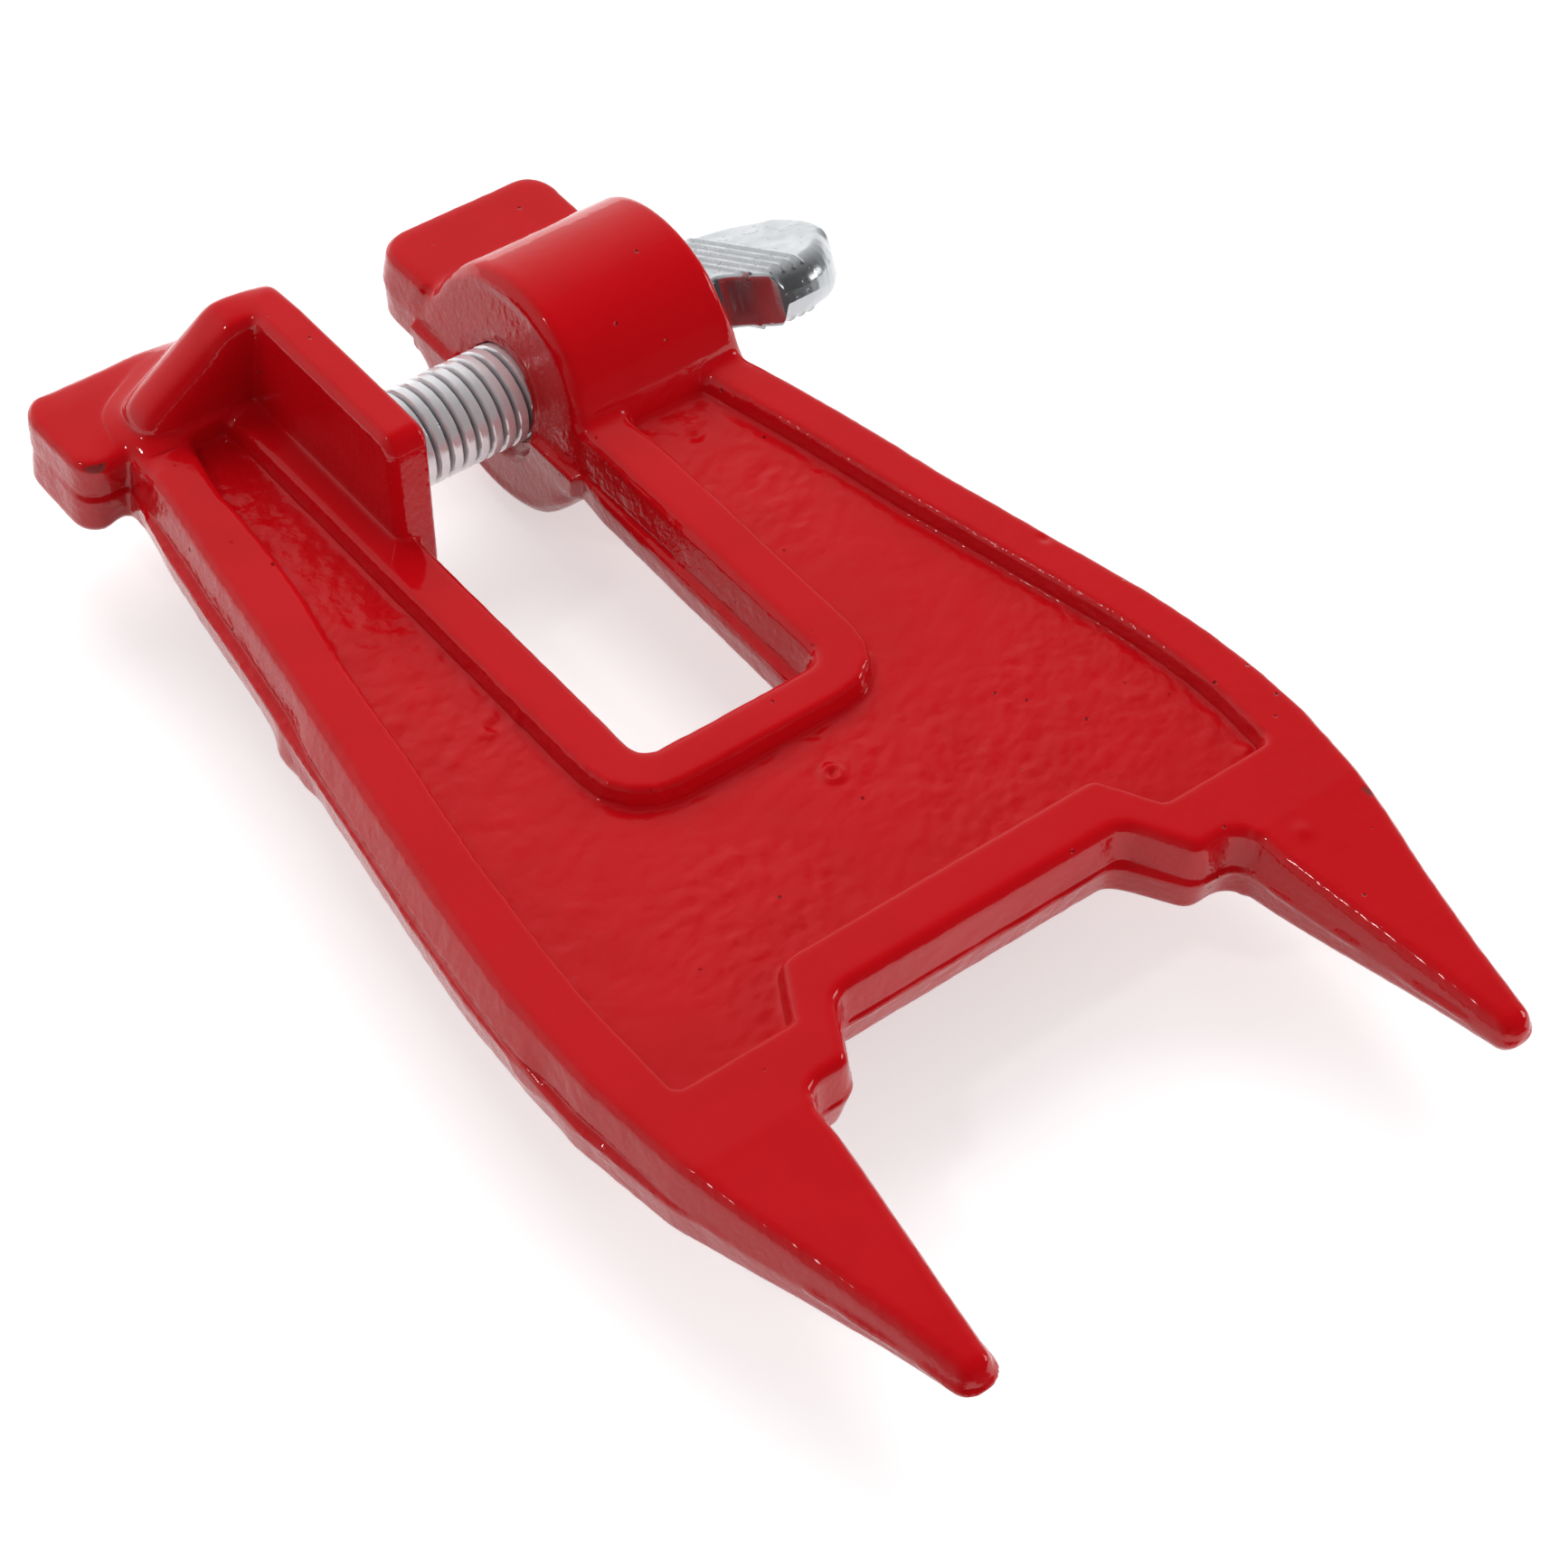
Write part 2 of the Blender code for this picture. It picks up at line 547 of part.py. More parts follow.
def make_casting(parent, material):
    outline = body_outline()
    mesh_data = bmesh.new()
    parts = cap_parts(outline)
    skin(mesh_data, casting_rings(outline), parts, parts)
    casting = add_object("vise_body", mesh_data, material, parent)
    combine(casting, pocket_tool("pocket_top_shape", 1, parent), "DIFFERENCE")
    combine(casting, pocket_tool("pocket_bottom_shape", -1, parent), "DIFFERENCE")
    combine(casting, boss_tool(parent), "UNION")
    combine(casting, jaw_tool(parent), "UNION")
    combine(casting, buttress_tool("buttress_top_shape", 1, parent), "UNION")
    combine(casting, buttress_tool("buttress_bottom_shape", -1, parent), "UNION")
    combine(casting, bore_tool(parent), "DIFFERENCE")
    return casting


# Screw, pad and wing.
def thread_radius_at(turns, x, start, end):
    """Radius of the threaded stem at a place, from how far round the helix it lies."""
    phase = turns % 1.0
    flank_end = THREAD_CREST_SHARE + THREAD_FLANK_SHARE
    root_end = flank_end + THREAD_ROOT_SHARE
    if phase < THREAD_CREST_SHARE:
        height = 1.0
    elif phase < flank_end:
        height = (flank_end - phase) / THREAD_FLANK_SHARE
    elif phase < root_end:
        height = 0.0
    else:
        height = (phase - root_end) / THREAD_FLANK_SHARE
    radius = THREAD_RADIUS - THREAD_DEPTH * (1 - height)
    from_end = min(x - start, end - x)
    limit = THREAD_RADIUS - STEM_CHAMFER - THREAD_DEPTH / 2 + from_end
    return min(radius, max(limit, THREAD_RADIUS - THREAD_DEPTH - STEM_CHAMFER))


def threaded_stem(start, end):
    """A right-handed screw thread on a solid stem, as one closed skin that follows the helix."""
    flank_end = THREAD_CREST_SHARE + THREAD_FLANK_SHARE
    corner_shares = [0, THREAD_CREST_SHARE, flank_end, flank_end + THREAD_ROOT_SHARE]
    mesh_data = bmesh.new()
    turns_needed = int((end - start) / THREAD_PITCH) + 3
    columns = []
    for side in range(THREAD_SIDES + 1):
        turn = side / THREAD_SIDES
        angle = 2 * math.pi * turn
        column = []
        for whole in range(-2, turns_needed):
            for share in corner_shares:
                place = start + (whole + share + turn) * THREAD_PITCH
                x = min(max(place, start), end)
                radius = thread_radius_at(share if x == place else (x - start) / THREAD_PITCH - turn, x, start, end)
                column.append(Vector((x, radius * math.cos(angle), radius * math.sin(angle))))
        columns.append(column)
    verts = [[mesh_data.verts.new(point) for point in column] for column in columns]
    rows = len(columns[0])
    for side in range(THREAD_SIDES):
        for row in range(rows - 1):
            mesh_data.faces.new((verts[side][row], verts[side][row + 1],
                                 verts[side + 1][row + 1], verts[side + 1][row]))
    bmesh.ops.remove_doubles(mesh_data, verts=mesh_data.verts, dist=MERGE_DISTANCE)
    bmesh.ops.dissolve_degenerate(mesh_data, edges=mesh_data.edges, dist=MERGE_DISTANCE)
    bmesh.ops.holes_fill(mesh_data, edges=mesh_data.edges, sides=0)
    return mesh_data


def make_screw(parent, material):
    """Threaded stem, with a button on its nose for the pad and a spigot for the wing."""
    shoulder = WING_START - SEAT_CLEARANCE
    screw = add_object("clamp_screw", threaded_stem(STEM_NOSE, shoulder), material, parent)
    button_face = JAW_FACE + PAD_GAP + PAD_THICKNESS - PAD_LIP - PLAY - BUTTON_THICKNESS
    button_back = button_face + BUTTON_THICKNESS
    root = STEM_NOSE + STEM_CHAMFER
    profile = [(button_face, 0), (button_face, BUTTON_RADIUS), (button_back, BUTTON_RADIUS),
               (button_back, NECK_RADIUS), (root, NECK_RADIUS), (root, 0)]
    button = add_tool("button_shape", turned(profile, ROUND_SIDES), parent)
    combine(screw, button, "UNION")
    inner = shoulder - STEM_CHAMFER
    outer = shoulder + SPIGOT_LENGTH
    spigot = add_tool("spigot_shape", turned([(inner, 0), (inner, SPIGOT_RADIUS), (outer, SPIGOT_RADIUS),
                                              (outer, 0)], ROUND_SIDES), parent)
    combine(screw, spigot, "UNION")
    return screw


def make_pad(parent, material):
    """Round pad that swivels on the screw's button and bears on the guide bar."""
    face = JAW_FACE + PAD_GAP
    back = face + PAD_THICKNESS
    cavity_radius = BUTTON_RADIUS + PLAY
    cavity_back = back - PAD_LIP
    cavity_face = cavity_back - BUTTON_THICKNESS - 2 * PLAY
    mouth = NECK_RADIUS + PLAY
    profile = [(face, 0), (face, PAD_RADIUS - PAD_CHAMFER), (face + PAD_CHAMFER, PAD_RADIUS),
               (back - PAD_CHAMFER, PAD_RADIUS), (back, PAD_RADIUS - PAD_CHAMFER), (back, mouth),
               (cavity_back, mouth), (cavity_back, cavity_radius), (cavity_face, cavity_radius),
               (cavity_face, 0)]
    return add_object("pressure_pad", turned(profile, ROUND_SIDES), material, parent)


def wing_blade():
    """Flat spade of the wing, in its own plane, with rounded edges."""
    half_span = WING_SPAN / 2
    hub_half = half_span * WING_OUTLINE_SHARES[0][1]
    upper = [Vector((WING_START + along * WING_LENGTH, across * half_span))
             for along, across in WING_OUTLINE_SHARES]
    curve = smooth_path([Vector((WING_START, hub_half))] + upper, steps=2)
    tip = Vector((WING_START + WING_LENGTH, 0))
    outline = curve + [tip] + [Vector((point.x, -point.y)) for point in reversed(curve)]
    outline.reverse()
    half = WING_THICKNESS / 2
    rings = []
    for side in (-1, 1):
        steps = [(half, WING_EDGE_ROUND), (half - WING_EDGE_ROUND / 3, WING_EDGE_ROUND / 3),
                 (half - WING_EDGE_ROUND, 0)]
        if side == 1:
            steps.reverse()
        for height, distance in steps:
            ring = inset(outline, [distance] * len(outline))
            rings.append([Vector((point.x, point.y, side * height)) for point in ring])
    mesh_data = bmesh.new()
    skin(mesh_data, rings)
    return mesh_data


def grip_tool(index, side, parent):
    """One raised grip ridge across a broad side of the wing."""
    x = WING_START + WING_GRIP_START + index * WING_GRIP_SPACING
    share = (x - WING_START) / WING_LENGTH
    pairs = [(0.0, WING_OUTLINE_SHARES[0][1])] + WING_OUTLINE_SHARES
    across = 0.0
    for (along, low), (next_along, high) in zip(pairs, pairs[1:]):
        if along <= share <= next_along:
            across = low + (high - low) * (share - along) / (next_along - along)
    reach = across * WING_SPAN / 2 - WING_EDGE_ROUND * 2
    base = WING_THICKNESS / 2 - WING_GRIP_HEIGHT
    top = WING_THICKNESS / 2 + WING_GRIP_HEIGHT
    mesh_data = bmesh.new()
    rings = []
    for y in (-reach, reach):
        rings.append([Vector((x - WING_GRIP_WIDTH, y, side * base)), Vector((x + WING_GRIP_WIDTH, y, side * base)),
                      Vector((x, y, side * top))])
    skin(mesh_data, rings)
    return add_tool(f"grip_{'top' if side == 1 else 'bottom'}_{index + 1}_shape", mesh_data, parent)


def make_wing(parent, material):
    wing = add_object("wing_handle", wing_blade(), material, parent)
    taper_start = WING_START + WING_HUB_LENGTH
    hub_profile = [(WING_START, 0), (WING_START, WING_HUB_RADIUS), (taper_start, WING_HUB_RADIUS),
                   (taper_start + WING_HUB_TAPER, WING_HUB_NOSE_RADIUS), (taper_start + WING_HUB_TAPER, 0)]
    combine(wing, add_tool("hub_shape", turned(hub_profile, ROUND_SIDES), parent), "UNION")
    for side in (1, -1):
        for index in range(WING_GRIP_COUNT):
            combine(wing, grip_tool(index, side, parent), "UNION")
    socket_radius = SPIGOT_RADIUS + SEAT_CLEARANCE
    socket_end = WING_START + SPIGOT_LENGTH
    socket = [(WING_START - OVERRUN, 0), (WING_START - OVERRUN, socket_radius), (socket_end, socket_radius),
              (socket_end, 0)]
    combine(wing, add_tool("socket_shape", turned(socket, ROUND_SIDES), parent), "DIFFERENCE")
    return wing


def add_empty(name, location, parent=None):
    empty = bpy.data.objects.new(name, None)
    empty.empty_display_size = PAD_RADIUS
    bpy.context.scene.collection.objects.link(empty)
    empty.location = location
    empty.parent = parent
    return empty


def main():
    for obj in list(bpy.data.objects):
        bpy.data.objects.remove(obj)
    paint = make_material("red_powder_coat", (0.52, 0.016, 0.020), 0.0, 0.22, coat=0.3)
    zinc_stem = make_material("zinc_thread", (0.62, 0.62, 0.63), 1.0, 0.24)
    zinc_wing = make_material("zinc_wing", (0.66, 0.67, 0.68), 1.0, 0.30)
    pad_steel = make_material("pad_steel", (0.50, 0.50, 0.51), 1.0, 0.35)

    # The part's own origin is under the middle of its bounding box.
    middle_x = (WING_START + WING_LENGTH - HALF_WIDTH + MOULD_SHIFT_X) / 2
    middle_y = (SEAT_TO_ENDS - SPIKE_REACH + MOULD_SHIFT_Y) / 2
    frame = add_empty("vise_frame", (-middle_x, -middle_y, JAW_HEIGHT / 2))
    axis = add_empty("screw_axis", (0, SCREW_LINE, 0), frame)
    turning = add_empty("screw_turn_axis", (0, 0, 0), axis)
    turning.rotation_euler = (WING_REST_ANGLE, 0, 0)

    make_casting(frame, paint)
    make_pad(axis, pad_steel)
    make_screw(turning, zinc_stem)
    make_wing(turning, zinc_wing)


if __name__ == "__main__":
    main()
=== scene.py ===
"""Looks of the stump filing vise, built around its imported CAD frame.

The casting is skinned again as thick gloss paint over a rough sand casting, and the screw, its
swivel pad and its cast wing get finer threads, ridges and zinc plate. Lengths are in metres.
"""

import logging
import math
from dataclasses import dataclass, field
from enum import Enum

import bmesh
import bpy
import numpy as np
from mathutils import Euler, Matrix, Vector

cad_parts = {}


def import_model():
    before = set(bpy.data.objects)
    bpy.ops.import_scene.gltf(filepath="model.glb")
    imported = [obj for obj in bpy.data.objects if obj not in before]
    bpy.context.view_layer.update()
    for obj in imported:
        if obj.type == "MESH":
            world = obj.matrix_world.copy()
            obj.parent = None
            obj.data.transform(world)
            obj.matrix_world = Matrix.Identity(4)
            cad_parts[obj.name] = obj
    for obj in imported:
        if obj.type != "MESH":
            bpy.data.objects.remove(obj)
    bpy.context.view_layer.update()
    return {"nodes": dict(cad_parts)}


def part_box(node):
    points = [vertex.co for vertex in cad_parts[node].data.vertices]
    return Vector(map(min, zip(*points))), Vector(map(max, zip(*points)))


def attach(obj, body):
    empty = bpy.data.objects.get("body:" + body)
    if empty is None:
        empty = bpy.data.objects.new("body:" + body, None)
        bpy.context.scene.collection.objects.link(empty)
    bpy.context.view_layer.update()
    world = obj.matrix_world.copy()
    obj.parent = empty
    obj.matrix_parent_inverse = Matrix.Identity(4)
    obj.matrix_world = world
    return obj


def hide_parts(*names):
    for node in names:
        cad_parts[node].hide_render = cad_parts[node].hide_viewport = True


LOG = logging.getLogger("stump_vise")
TINY = 1e-6
Pair = tuple[float, float]
Triple = tuple[float, float, float]
Socket = bpy.types.NodeSocket

# Where the casting's own axes meet, in the row frame: middle line, stump seat, parting plane.
CASTING_ORIGIN = Vector((-0.003175, -0.0402, 0.0187))

# The jaw's gripping face in the row frame, from which the screw's thread is placed.
JAW_FACE = -0.016725


class Body(Enum):
    """Moving bodies of the frame."""

    VISE = "vise"
    PAD = "pad"
    WING_SCREW = "wing_screw"


class Blend(Enum):
    """How a mask falls away from its middle."""

    ROUND = "round"
    RIDGE = "ridge"


# The noise lattices are turned by this, so that no row of grains lies along an axis.
LATTICE_TURN = np.array(Euler((0.61, 0.47, 0.89)).to_matrix())


# Small numeric tools.
def smoothstep(low: float, high: float, values: np.ndarray) -> np.ndarray:
    """Rise smoothly from 0 to 1.

    Args:
        low: Value at which the result leaves 0.
        high: Value at which the result reaches 1.
        values: Values to test.

    Returns:
        One share per value.
    """
    share = np.clip((values - low) / (high - low), 0.0, 1.0)
    return share * share * (3.0 - 2.0 * share)


def band(start: float, full: float, fading: float, end: float, values: np.ndarray) -> np.ndarray:
    """Rise smoothly from 0 to 1 between two values, and fall back to 0 between two more."""
    return smoothstep(start, full, values) * smoothstep(end, fading, values)


def bell(values: np.ndarray, width: float) -> np.ndarray:
    """Give a smooth hump of height 1 about 0 that has fallen to a third at the width."""
    return np.exp(-((values / width) ** 2))


@dataclass(frozen=True)
class LatticeNoise:
    """Smooth noise on a cubic lattice, the same in every run."""

    size: float  # Distance between lattice points
    seed: int  # Number that tells one noise from another
    octaves: int = 1  # How many finer layers are added
    height: float = 1.0  # What it is multiplied by

    def corner(self, cells: np.ndarray, layer: int) -> np.ndarray:
        """Give each lattice point its own value between -1 and 1.

        Args:
            cells: Whole-number places, one row for each point.
            layer: Which octave asks.

        Returns:
            One value per row.
        """
        whole = cells.astype(np.int64)
        mixed = whole[:, 0] * 73856093 ^ whole[:, 1] * 19349663 ^ whole[:, 2] * 83492791
        mixed = (mixed ^ (self.seed * 2654435761 + layer * 40503)) & 0xFFFFFFFF
        mixed = (mixed ^ (mixed >> 15)) * 2246822519 & 0xFFFFFFFF
        mixed = (mixed ^ (mixed >> 13)) * 3266489917 & 0xFFFFFFFF
        mixed = mixed ^ (mixed >> 16)
        return mixed.astype(np.float64) / 0x7FFFFFFF - 1.0

    def layer(self, places: np.ndarray, layer: int) -> np.ndarray:
        """Read one octave of the noise.

        Args:
            places: Points in lattice units.
            layer: Which octave to read.

        Returns:
            One value per point.
        """
        base = np.floor(places)
        share = places - base
        share = share * share * share * (share * (share * 6.0 - 15.0) + 10.0)
        total = np.zeros(len(places))
        for corner in range(8):
            offset = np.array([(corner >> axis) & 1 for axis in range(3)])
            weight = np.prod(np.where(offset == 1, share, 1.0 - share), axis=1)
            total += weight * self.corner(base + offset, layer)
        return total

    def at(self, points: np.ndarray) -> np.ndarray:
        """Read the noise at points in metres.

        Args:
            points: One row for each point.

        Returns:
            One value per point, about -1 to 1.
        """
        total = np.zeros(len(points))
        turned = points / self.size
        weight, scale, reach = 1.0, 1.0, 0.0
        for layer in range(self.octaves):
            turned = turned @ LATTICE_TURN
            total += weight * self.layer(turned * scale + 7.3 * layer, layer)
            reach += weight
            weight *= 0.5
            scale *= 2.0
        return self.height * total / reach


@dataclass
class Skin:
    """A mesh held as arrays while it is being worked."""

    mesh: bpy.types.Mesh  # The mesh the arrays come from
    points: np.ndarray  # Vertex places in the row frame
    normals: np.ndarray  # Vertex normals

    @classmethod
    def of(cls, mesh: bpy.types.Mesh) -> "Skin":
        """Read a mesh.

        Args:
            mesh: The mesh to read.

        Returns:
            Its arrays.
        """
        points = np.zeros(len(mesh.vertices) * 3, np.float32)
        mesh.vertices.foreach_get("co", points)
        normals = np.zeros(len(mesh.vertices) * 3, np.float32)
        mesh.vertex_normals.foreach_get("vector", normals)
        return cls(mesh, points.reshape(-1, 3).astype(float), normals.reshape(-1, 3).astype(float))

    def write(self) -> None:
        """Put the places back into the mesh."""
        self.mesh.vertices.foreach_set("co", self.points.astype(np.float32).ravel())
        self.mesh.update()

    def store(self, name: str, values: np.ndarray) -> None:
        """Keep one number per vertex, for a material to read.

        Args:
            name: The attribute's name.
            values: One value per vertex.
        """
        attribute = self.mesh.attributes.new(name, "FLOAT", "POINT")
        attribute.data.foreach_set("value", values.astype(np.float32))


# Small scene tools.
def new_object(name: str, mesh: bpy.types.Mesh) -> bpy.types.Object:
    """Put a mesh in the scene as an object at the origin."""
    obj = bpy.data.objects.new(name, mesh)
    bpy.context.scene.collection.objects.link(obj)
    return obj


def mesh_from(name: str, build: bmesh.types.BMesh) -> bpy.types.Mesh:
    """Turn worked geometry into a smooth shaded mesh.

    Args:
        name: The mesh's name.
        build: Geometry, freed afterwards.

    Returns:
        The new mesh.
    """
    bmesh.ops.remove_doubles(build, verts=build.verts, dist=1e-7)
    bmesh.ops.recalc_face_normals(build, faces=build.faces)
    mesh = bpy.data.meshes.new(name)
    build.to_mesh(mesh)
    build.free()
    mesh.shade_smooth()
    return mesh


def baked(obj: bpy.types.Object, name: str) -> bpy.types.Mesh:
    """Apply an object's modifiers to a new mesh and remove the object.

    Args:
        obj: The object to bake.
        name: The new mesh's name.

    Returns:
        The mesh with its modifiers applied.
    """
    graph = bpy.context.evaluated_depsgraph_get()
    mesh = bpy.data.meshes.new_from_object(obj.evaluated_get(graph), depsgraph=graph)
    mesh.name = name
    bpy.data.objects.remove(obj)
    mesh.materials.clear()
    return mesh


def skin_over(obj: bpy.types.Object, voxel: float) -> None:
    """Give an object one closed, smooth shaded skin of a given grain."""
    remesh = obj.modifiers.new("skin", "REMESH")
    remesh.mode = "VOXEL"
    remesh.voxel_size = voxel
    remesh.use_smooth_shade = True


def soften(obj: bpy.types.Object, passes: int, group: str = "") -> None:
    """Smooth an object, or only one of its vertex groups."""
    smooth = obj.modifiers.new("soften", "SMOOTH")
    smooth.factor = 0.5
    smooth.iterations = passes
    smooth.vertex_group = group


def revolve(build: bmesh.types.BMesh, profile: list[Pair], sides: int,
            centre: Vector) -> None:
    """Turn a profile about a line along X.

    Args:
        build: Geometry to add to.
        profile: Pairs of place along X and radius. A radius of 0 closes an end.
        sides: How many sides the turned shape has.
        centre: A point on the line; its X is added to each place.
    """
    rings = []
    for x, radius in profile:
        count = 1 if radius == 0 else sides
        ring = []
        for index in range(count):
            angle = 2 * math.pi * index / sides
            ring.append(build.verts.new((centre.x + x, centre.y + radius * math.cos(angle),
                                         centre.z + radius * math.sin(angle))))
        rings.append(ring)
    for lower, upper in zip(rings, rings[1:]):
        for index in range(sides):
            following = (index + 1) % sides
            corners = [lower[index % len(lower)], lower[following % len(lower)],
                       upper[following % len(upper)], upper[index % len(upper)]]
            unique = list(dict.fromkeys(corners))
            if len(unique) > 2:
                build.faces.new(unique)


class Nodes:
    """A node tree with short ways to add to it."""

    def __init__(self, tree: bpy.types.NodeTree) -> None:
        """Take hold of a tree."""
        self.tree = tree

    def add(self, kind: str, **settings: object) -> bpy.types.Node:
        """Add a node.

        Args:
            kind: The node's type name without its ShaderNode prefix.
            **settings: Values for the node's own properties.

        Returns:
            The node.
        """
        node = self.tree.nodes.new("ShaderNode" + kind)
        for key, value in settings.items():
            setattr(node, key, value)
        return node

    def feed(self, target: Socket, value: object) -> None:
        """Give a socket another socket's value, or a plain one."""
        if isinstance(value, Socket):
            self.tree.links.new(value, target)
        else:
            target.default_value = value

    def math(self, operation: str, *values: object) -> Socket:
        """Combine sockets and numbers.

        Args:
            operation: What the Math node does.
            *values: What it does it to, in order.

        Returns:
            The result.
        """
        node = self.add("Math", operation=operation)
        for target, value in zip(node.inputs, values):
            self.feed(target, value)
        return node.outputs["Value"]

    def stretch(self, value: Socket, source: Pair = (0.0, 1.0),
                target: Pair = (0.0, 1.0), curve: str = "LINEAR") -> Socket:
        """Carry a value from one span to another, and clamp it.

        Args:
            value: The socket to read.
            source: Values that give the two ends of the target.
            target: What they give.
            curve: How the result runs between them.

        Returns:
            The new value.
        """
        node = self.add("MapRange", clamp=True, interpolation_type=curve)
        for name, end in zip(("From Min", "From Max", "To Min", "To Max"), (*source, *target)):
            node.inputs[name].default_value = end
        self.feed(node.inputs["Value"], value)
        return node.outputs["Result"]

    def mix(self, share: Socket, first: object, second: object) -> Socket:
        """Mix two colours or two numbers.

        Args:
            share: How much of the second shows.
            first: A colour, a number or the socket of one.
            second: A colour or a number.

        Returns:
            The mixture.
        """
        coloured = isinstance(second, tuple)
        node = self.add("Mix", data_type="RGBA" if coloured else "FLOAT")
        place = 6 if coloured else 2
        self.feed(node.inputs[0], share)
        self.feed(node.inputs[place], (*first, 1.0) if isinstance(first, tuple) else first)
        self.feed(node.inputs[place + 1], (*second, 1.0) if coloured else second)
        return node.outputs[2 if coloured else 0]


class NodeSheet(Nodes):
    """A material's node tree."""

    def __init__(self, name: str) -> None:
        """Start a material."""
        self.material = bpy.data.materials.new(name)
        self.material.use_nodes = True
        super().__init__(self.material.node_tree)
        self.shader = self.tree.nodes["Principled BSDF"]

    def finish(self, **values: object) -> bpy.types.Material:
        """Feed the shader and give the material.

        Args:
            **values: Its sockets, with underscores for spaces.

        Returns:
            The material.
        """
        for name, value in values.items():
            self.feed(self.shader.inputs[name.replace("_", " ")], value)
        return self.material

    def texture(self, kind: str, size: float, **settings: object) -> bpy.types.Node:
        """Add a texture whose grains are about a given size."""
        node = self.add(kind, **settings)
        node.inputs["Scale"].default_value = 1.0 / size
        self.feed(node.inputs["Vector"], self.add("TexCoord").outputs["Object"])
        return node

    def noise(self, size: float, detail: float) -> Socket:
        """Add a noise with so many finer layers."""
        node = self.texture("TexNoise", size)
        node.inputs["Detail"].default_value = detail
        return node.outputs["Fac"]

    def attribute(self, name: str) -> Socket:
        """Read a value kept on the vertices."""
        return self.add("Attribute", attribute_name=name).outputs["Fac"]

    def bump(self, height: Socket, distance: float,
             under: Socket | None = None) -> Socket:
        """Turn a height into a normal.

        Args:
            height: The height's socket.
            distance: How high a height of 1 stands.
            under: Normal to build on, if any.

        Returns:
            The normal.
        """
        node = self.add("Bump")
        node.inputs["Distance"].default_value = distance
        node.inputs["Strength"].default_value = 1.0
        self.feed(node.inputs["Height"], height)
        if under is not None:
            self.feed(node.inputs["Normal"], under)
        return node.outputs["Normal"]


# Finishes.
@dataclass(frozen=True)
class RedCastingPaint:
    """Thick red gloss enamel over a rough casting."""

    colour: Triple = (0.520, 0.0030, 0.0065)  # The enamel's colour
    mottle_colour: Triple = (0.4888, 0.0024, 0.0054)  # Colour of its deeper patches
    mottle: float = 0.009  # Size of the patches
    mottle_span: Pair = (0.45, 0.75)  # Noise values between which they set in
    speck_colour: Triple = (0.16, 0.002, 0.003)  # Colour of the small dark specks
    speck: float = 0.0036  # Distance from speck to speck
    speck_span: Pair = (0.085, 0.035)  # Cell distances between which a speck fades in
    speck_depth: float = 0.00012  # Depth of a speck
    patch: float = 0.013  # Size of the places that have specks
    patch_span: Pair = (0.50, 0.54)  # Noise values between which such a place sets in
    chip_colour: Triple = (0.085, 0.020, 0.016)  # Bare, oxidised iron where it is chipped
    chip_share: float = 0.7  # How much of it shows
    chip_roughness: float = 0.35  # How much duller it is
    refraction: float = 1.46  # The enamel's index of refraction
    roughness: float = 0.065  # Gloss of the flats
    rough_side: float = 0.15  # Gloss of the rough mould sides
    orange_peel: float = 0.0016  # Grain size of the enamel's ripple
    peel_height: float = 0.000030  # Height of the ripple
    grit: float = 0.00085  # Grain size of the sand texture under the paint
    grit_height: float = 0.000100  # Height of that texture

    def make(self) -> bpy.types.Material:
        """Build the enamel."""
        sheet = NodeSheet("red_casting_enamel")
        mottle = sheet.stretch(sheet.noise(self.mottle, 3.0), self.mottle_span)
        colour = sheet.mix(mottle, self.colour, self.mottle_colour)
        cells = sheet.texture("TexVoronoi", self.speck, feature="F1").outputs["Distance"]
        rare = sheet.stretch(sheet.noise(self.patch, 1.0), self.patch_span)
        specks = sheet.math("MULTIPLY", sheet.stretch(cells, self.speck_span), rare)
        colour = sheet.mix(specks, colour, self.speck_colour)
        chips = sheet.attribute("chip")
        colour = sheet.mix(sheet.math("MULTIPLY", chips, self.chip_share), colour, self.chip_colour)

        rough_cast = sheet.attribute("rough_cast")
        gloss = sheet.stretch(rough_cast, target=(self.roughness, self.rough_side))
        gloss = sheet.math("MULTIPLY_ADD", chips, self.chip_roughness, gloss)

        normal = sheet.bump(sheet.noise(self.orange_peel, 1.0), self.peel_height)
        grit = sheet.math("MULTIPLY", sheet.noise(self.grit, 2.0), rough_cast)
        normal = sheet.bump(grit, self.grit_height, normal)
        normal = sheet.bump(specks, -self.speck_depth, normal)
        return sheet.finish(IOR=self.refraction, Base_Color=colour, Roughness=gloss, Normal=normal)


